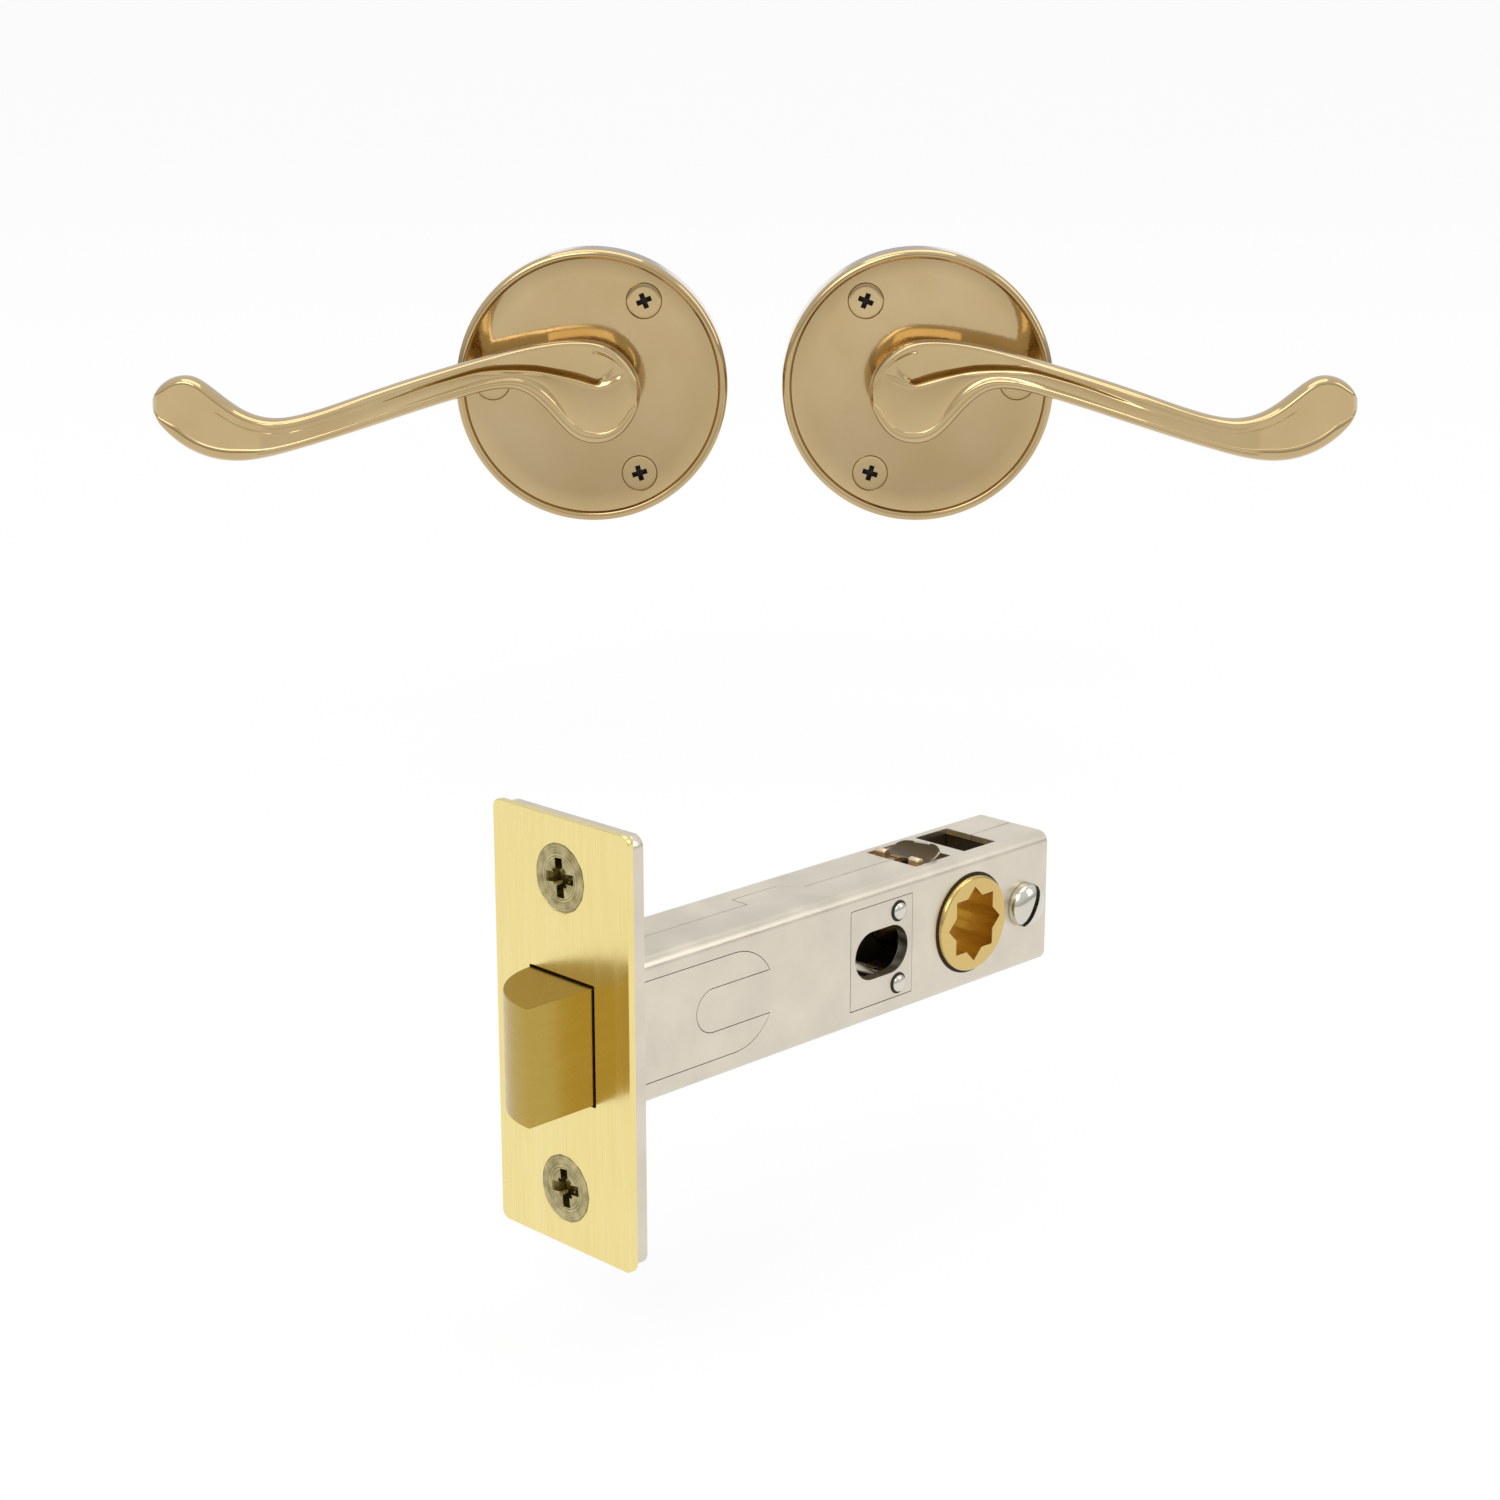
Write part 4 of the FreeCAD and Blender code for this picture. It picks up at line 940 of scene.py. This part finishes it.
plate_screw_brass = swirled_brass()
screws = []
for z, turn in ((PLATE_SCREW_RISE, 4.0), (-PLATE_SCREW_RISE, 6.0)):
    tools = cross_tool(span=5.2, width=1.35, depth=1.9, face=2.9, turn=turn, tick=3.2)
    # Painted shade lies in the middle of each recess, out to 0.55 mm.
    head_form = screw_form(head=4.45, face=2.9, tools=tools, dark=0.55)
    shank = threaded(radius=2.0, root=1.45, pitch=1.3, start=0.4, end=-10.1)
    screws.append(moved(joined([head_form, shank]), Matrix.Translation((0, 0, z * MM))))
piece = made("crossed_plate_screws", moved(joined(screws), FACING), 30)
show_with_painted_shade(piece, plate_screw_brass, "plate_screws")

# Case
# Folded sheet steel, zinc plated, closed by a dovetailed seam on top, with fine drawing marks from end to
# end. It has two windows on top and openings for tongues, guide plates, hub and screw.

case_steel = steel("case_steel", linear(226, 217, 200), 0.25, 0.0006, (0.15, 1.0, 1.0), 0.000006)
eased("latch_case", 0.09, case_steel, 40)

# Bolt
# Solid brass, machined: brushed, with one flat side and a curved striking face. It is slotted and cross
# drilled behind for the draw fork, which a plain steel pin holds in it.

bolt_brass = brushed_brass("bolt_brass", (0.48, 0.34, 0.08, 1), (0.03, 0.03, 1.0), 0.0)


def make_bolt():
    """The bolt: flat on the side that is seen, curved on the striking side, slotted and drilled behind."""
    lowest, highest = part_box("bolt")
    half = (highest.y - lowest.y) / 2 / MM
    nose, tail = lowest.x / MM, highest.x / MM
    start, end = (-3.5, half), (nose, -half + 0.25)
    middle = (nose + 2.756, half * 0.33)
    chords = numpy.array([[spot[0] - start[0], spot[1] - start[1]] for spot in (middle, end)])
    squares = [x * x + y * y for x, y in (start, middle, end)]
    centre = numpy.linalg.solve(chords, [(squares[1] - squares[0]) / 2, (squares[2] - squares[0]) / 2])
    radius = math.dist(start, centre)
    turns = [math.atan2(y - centre[1], x - centre[0]) % (2 * math.pi) for x, y in (start, end)]
    outline = [(tail, -half), (tail, half)]
    for turn in numpy.linspace(*turns, 26):
        outline.append((centre[0] + radius * math.cos(turn), centre[1] + radius * math.sin(turn)))
    outline.append((nose + 0.12, -half))
    upright = Matrix(((1, 0, 0, 0), (0, 0, 1, 0), (0, -1, 0, 0), (0, 0, 0, 1)))
    form = moved(slab(outline, lowest.z / MM, highest.z / MM), upright)
    slot = slab(oblong(1.6, 12.0, -2.55, 2.55), -1.05, 1.05)
    hole = moved(lathed(oblong(0, 1.2, -7, 7), 32), Matrix.Translation((6.6 * MM, 0, 0)))
    piece = made("machined_bolt", softened(carved(form, [slot, hole]), 0.12, 28), 30)
    show(piece, bolt_brass, "bolt")


make_bolt()
eased("bolt_pin", 0.10, inner_steel)

# Bolt spring, spring seat, draw fork and retractors
# A coil of round spring wire pushes the bolt out from a plate fixed across the case. The flat fork draws
# the bolt back when a lug of the hub pushes one of the two saddles on its rails.


def make_bolt_spring():
    """Five turns of round wire, half a millimetre in radius, between the bolt's tail and the seat."""
    lowest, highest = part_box("bolt_spring")
    wire, coil, turns, steps_each = 0.5, 4.6, 5, 36
    start, end = lowest.x / MM + wire, highest.x / MM - wire
    line = bpy.data.curves.new("coil", "CURVE")
    line.dimensions = "3D"
    spline = line.splines.new("POLY")
    steps = turns * steps_each
    spline.points.add(steps)
    for i, point in enumerate(spline.points):
        y, z = ring_point(coil, 360 * i / steps_each)
        x = start + (end - start) * i / steps
        point.co = (x * MM, y * MM, z * MM, 1)
    line.bevel_depth = wire * MM
    line.bevel_resolution = 3
    line.use_fill_caps = True
    holder = bpy.data.objects.new("coil", line)
    scene.collection.objects.link(holder)
    piece = made("round_wire_bolt_spring", worked_mesh(holder, []), 50)
    show(piece, spring_steel, "bolt_spring")


make_bolt_spring()
for node in ("spring_seat", "draw_fork", "upper_retractor", "lower_retractor"):
    eased(node, 0.08, inner_steel)

# Hub
# Gold-coloured brass follower. Its journals stand a little proud of the case on both sides, and its socket
# has eight corners so that the spindle fits square or turned by an eighth.

HUB_PLACE = Matrix.Translation((0.0671, 0, 0))


def painted_gap_shadow(inner, outer, side, height, sides):
    """A flat ring of painted shadow on one side of the case, on the second material, where the gap round what
    comes through it is in shade.
    """
    ring = lathed(oblong(inner, outer, side * height, side * 6.80), sides)
    # Every face of the ring gets the painted shadow.
    for face in ring.faces:
        face.material_index = 1
    return ring


def make_hub():
    """The hub with its two lugs, its star socket, and a ring of painted shadow in the gap round each journal.
    """
    reach = (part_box("hub")[1].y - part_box("hub")[0].y) / 2 / MM
    half = [(0, reach), (6.45, reach), (6.75, reach - 0.12), (6.9, reach - 0.4), (6.9, 5.6), (6.5, 5.6)]
    body = lathed(half + [(r, -d) for r, d in half[::-1]], 96)
    star = [ring_point(5.445 if i % 2 else 4.167, 22.5 * (i + 1)) for i in range(16)]
    lugs = []
    for turn in (-31.0, 149.0):
        lug = slab(oblong(-0.9, 0.9, 5.5, 8.5), -1.2, 1.2)
        lugs.append(moved(lug, Matrix.Rotation(math.radians(turn), 4, "Y")))
    form = softened(carved(body, [slab(star, -12, 12)]), 0.05, 32, 1)
    # Painted shadow in the gap round each journal: a thin dark ring laid on each face of the case.
    journal_gap_shadows = [painted_gap_shadow(6.86, 7.28, side, 6.93, 72) for side in (-1, 1)]
    piece = made("star_socket_hub", moved(joined([form] + lugs + journal_gap_shadows), HUB_PLACE), 32)
    hub_brass = polished_brass("hub_brass", (0.68, 0.49, 0.17, 1), 0.13, 0.10, 0.0004)
    show_with_painted_shade(piece, hub_brass, "hub")


make_hub()

# Guide plates and rivets
# A steel plate with an oval slot fills an opening in each side of the case. Two bright nickel pins run
# through both plates and are domed over at their ends.

guide_steel = steel("guide_steel", linear(222, 213, 197), 0.24, 0.0006)
for node in ("near_guide_plate", "far_guide_plate"):
    eased(node, 0.10, guide_steel)
rivet_nickel = steel("rivet_nickel", linear(222, 218, 208), 0.12, 0.0005)


def make_rivets():
    """The two pins, domed at both ends, with a ring of painted shadow round each."""
    forms = []
    radius, foot, rise = 1.2, 7.15, 0.55
    for z in (5.2, -5.2):
        dome = [(radius * math.cos(a), foot + rise * math.sin(a)) for a in numpy.linspace(0, QUARTER, 9)]
        dome[-1] = (0, 7.7)
        pin = lathed([(r, -d) for r, d in dome[::-1]] + dome, 40)
        # Painted shadow in the gap round each pin: a thin dark ring on each side of the case.
        rivet_gap_shadows = [painted_gap_shadow(1.15, 1.52, side, 6.925, 40) for side in (-1, 1)]
        forms.append(moved(joined([pin] + rivet_gap_shadows), Matrix.Translation((0.0521, 0, z * MM))))
    show_with_painted_shade(made("domed_slot_rivets", joined(forms), 40), rivet_nickel, "slot_rivets")


make_rivets()

# Cage and leaf
# Under the first window lies a thin bronze cage whose two tabs stand up through it, with a bright steel
# leaf that curls out and has painted shade inside its curl.

cage_bronze = steel("cage_bronze", linear(228, 204, 170), 0.22, 0.0005)
eased("cam_cage", 0.08, cage_bronze)
leaf_steel = steel("leaf_steel", linear(218, 216, 210), 0.10, 0.0005)
# Painted shade for the inside of the leaf's curl: a dark brown steel.
leaf_painted_shade = steel("leaf_painted_shade", linear(92, 78, 58), 0.24, 0.0005)


def make_leaf():
    """The leaf: a strip that curls up towards its free end, with painted shade inside the curl and a bright
    rounded edge.
    """
    lowest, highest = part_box("cage_leaf")
    form = bmesh.new()
    rows = []
    for u in numpy.linspace(0, 1, 15):
        row = []
        for v in numpy.linspace(-1, 1, 17):
            share = u * (1 - 0.30 * abs(v) ** 5 * u)
            x = lowest.x / MM + 0.2 + 3.2 * (1 - (1 - share) ** 1.5)
            z = lowest.z / MM + 0.1 + (2.0 - 0.45 * v) * share ** 1.7
            row.append(form.verts.new((x * MM, 4.0 * v * MM, z * MM)))
        rows.append(row)
    for near, far in zip(rows, rows[1:]):
        for k in range(len(near) - 1):
            form.faces.new((near[k], far[k], far[k + 1], near[k + 1]))
    thick = [("SOLIDIFY", {"thickness": 0.45 * MM, "offset": 1.0, "material_offset_rim": 0})]
    form = worked_mesh(made("blank", form), thick)
    bmesh.ops.recalc_face_normals(form, faces=form.faces)
    # Faces that look up inside the curl take the painted shade.
    for face in form.faces:
        if face.normal.z > 0.25 and face.calc_center_median().z < highest.z - 0.25 * MM:
            face.material_index = 1
    piece = made("curled_leaf", softened(form, 0.1, 50), 40)
    show(piece, leaf_steel, "cage_leaf")
    piece.data.materials.append(leaf_painted_shade)


make_leaf()

# End plug and its screw
# A grey steel block closes the case at its far end. A bright nickel pan head screw with a deep slot holds it
# from the case's side; the floor of the slot has painted shade.

eased("end_plug", 0.15, steel("plug_steel", linear(96, 94, 90), 0.4, 0.0006))


def make_end_screw():
    """The pan head screw in the side of the case, with painted shade on the floor of its slot."""
    lowest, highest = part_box("end_screw")
    place = Matrix.Translation(((lowest.x + highest.x) / 2, 0, 0))
    radius, foot, rise, slot_floor = 3.2, 7.6, 1.6, 8.1
    dome = [(radius * math.cos(a) ** 0.8, foot + rise * math.sin(a)) for a in numpy.linspace(0, QUARTER, 14)]
    dome[-1] = (0, 9.2)
    head = lathed([(0, 6.9), (3.05, 6.9), (radius, 7.05)] + dome, 64)
    slot = slab(oblong(-4, 4, -0.45, 0.45), slot_floor, 11)
    form = carved(head, [moved(slot, Matrix.Rotation(math.radians(-62), 4, "Y"))])
    # The floor of the slot takes the second material, painted shade.
    for face in form.faces:
        if abs(-face.calc_center_median().y / MM - slot_floor) < 0.02:
            face.material_index = 1
    shank = threaded(radius=2.0, root=1.55, pitch=0.8, start=7.0, end=-2.0)
    piece = made("slotted_end_screw", moved(joined([form, shank]), place), 32)
    nickel = steel("end_screw_nickel", linear(222, 218, 206), 0.12, 0.0005)
    show_with_painted_shade(piece, nickel, "end_screw")


make_end_screw()
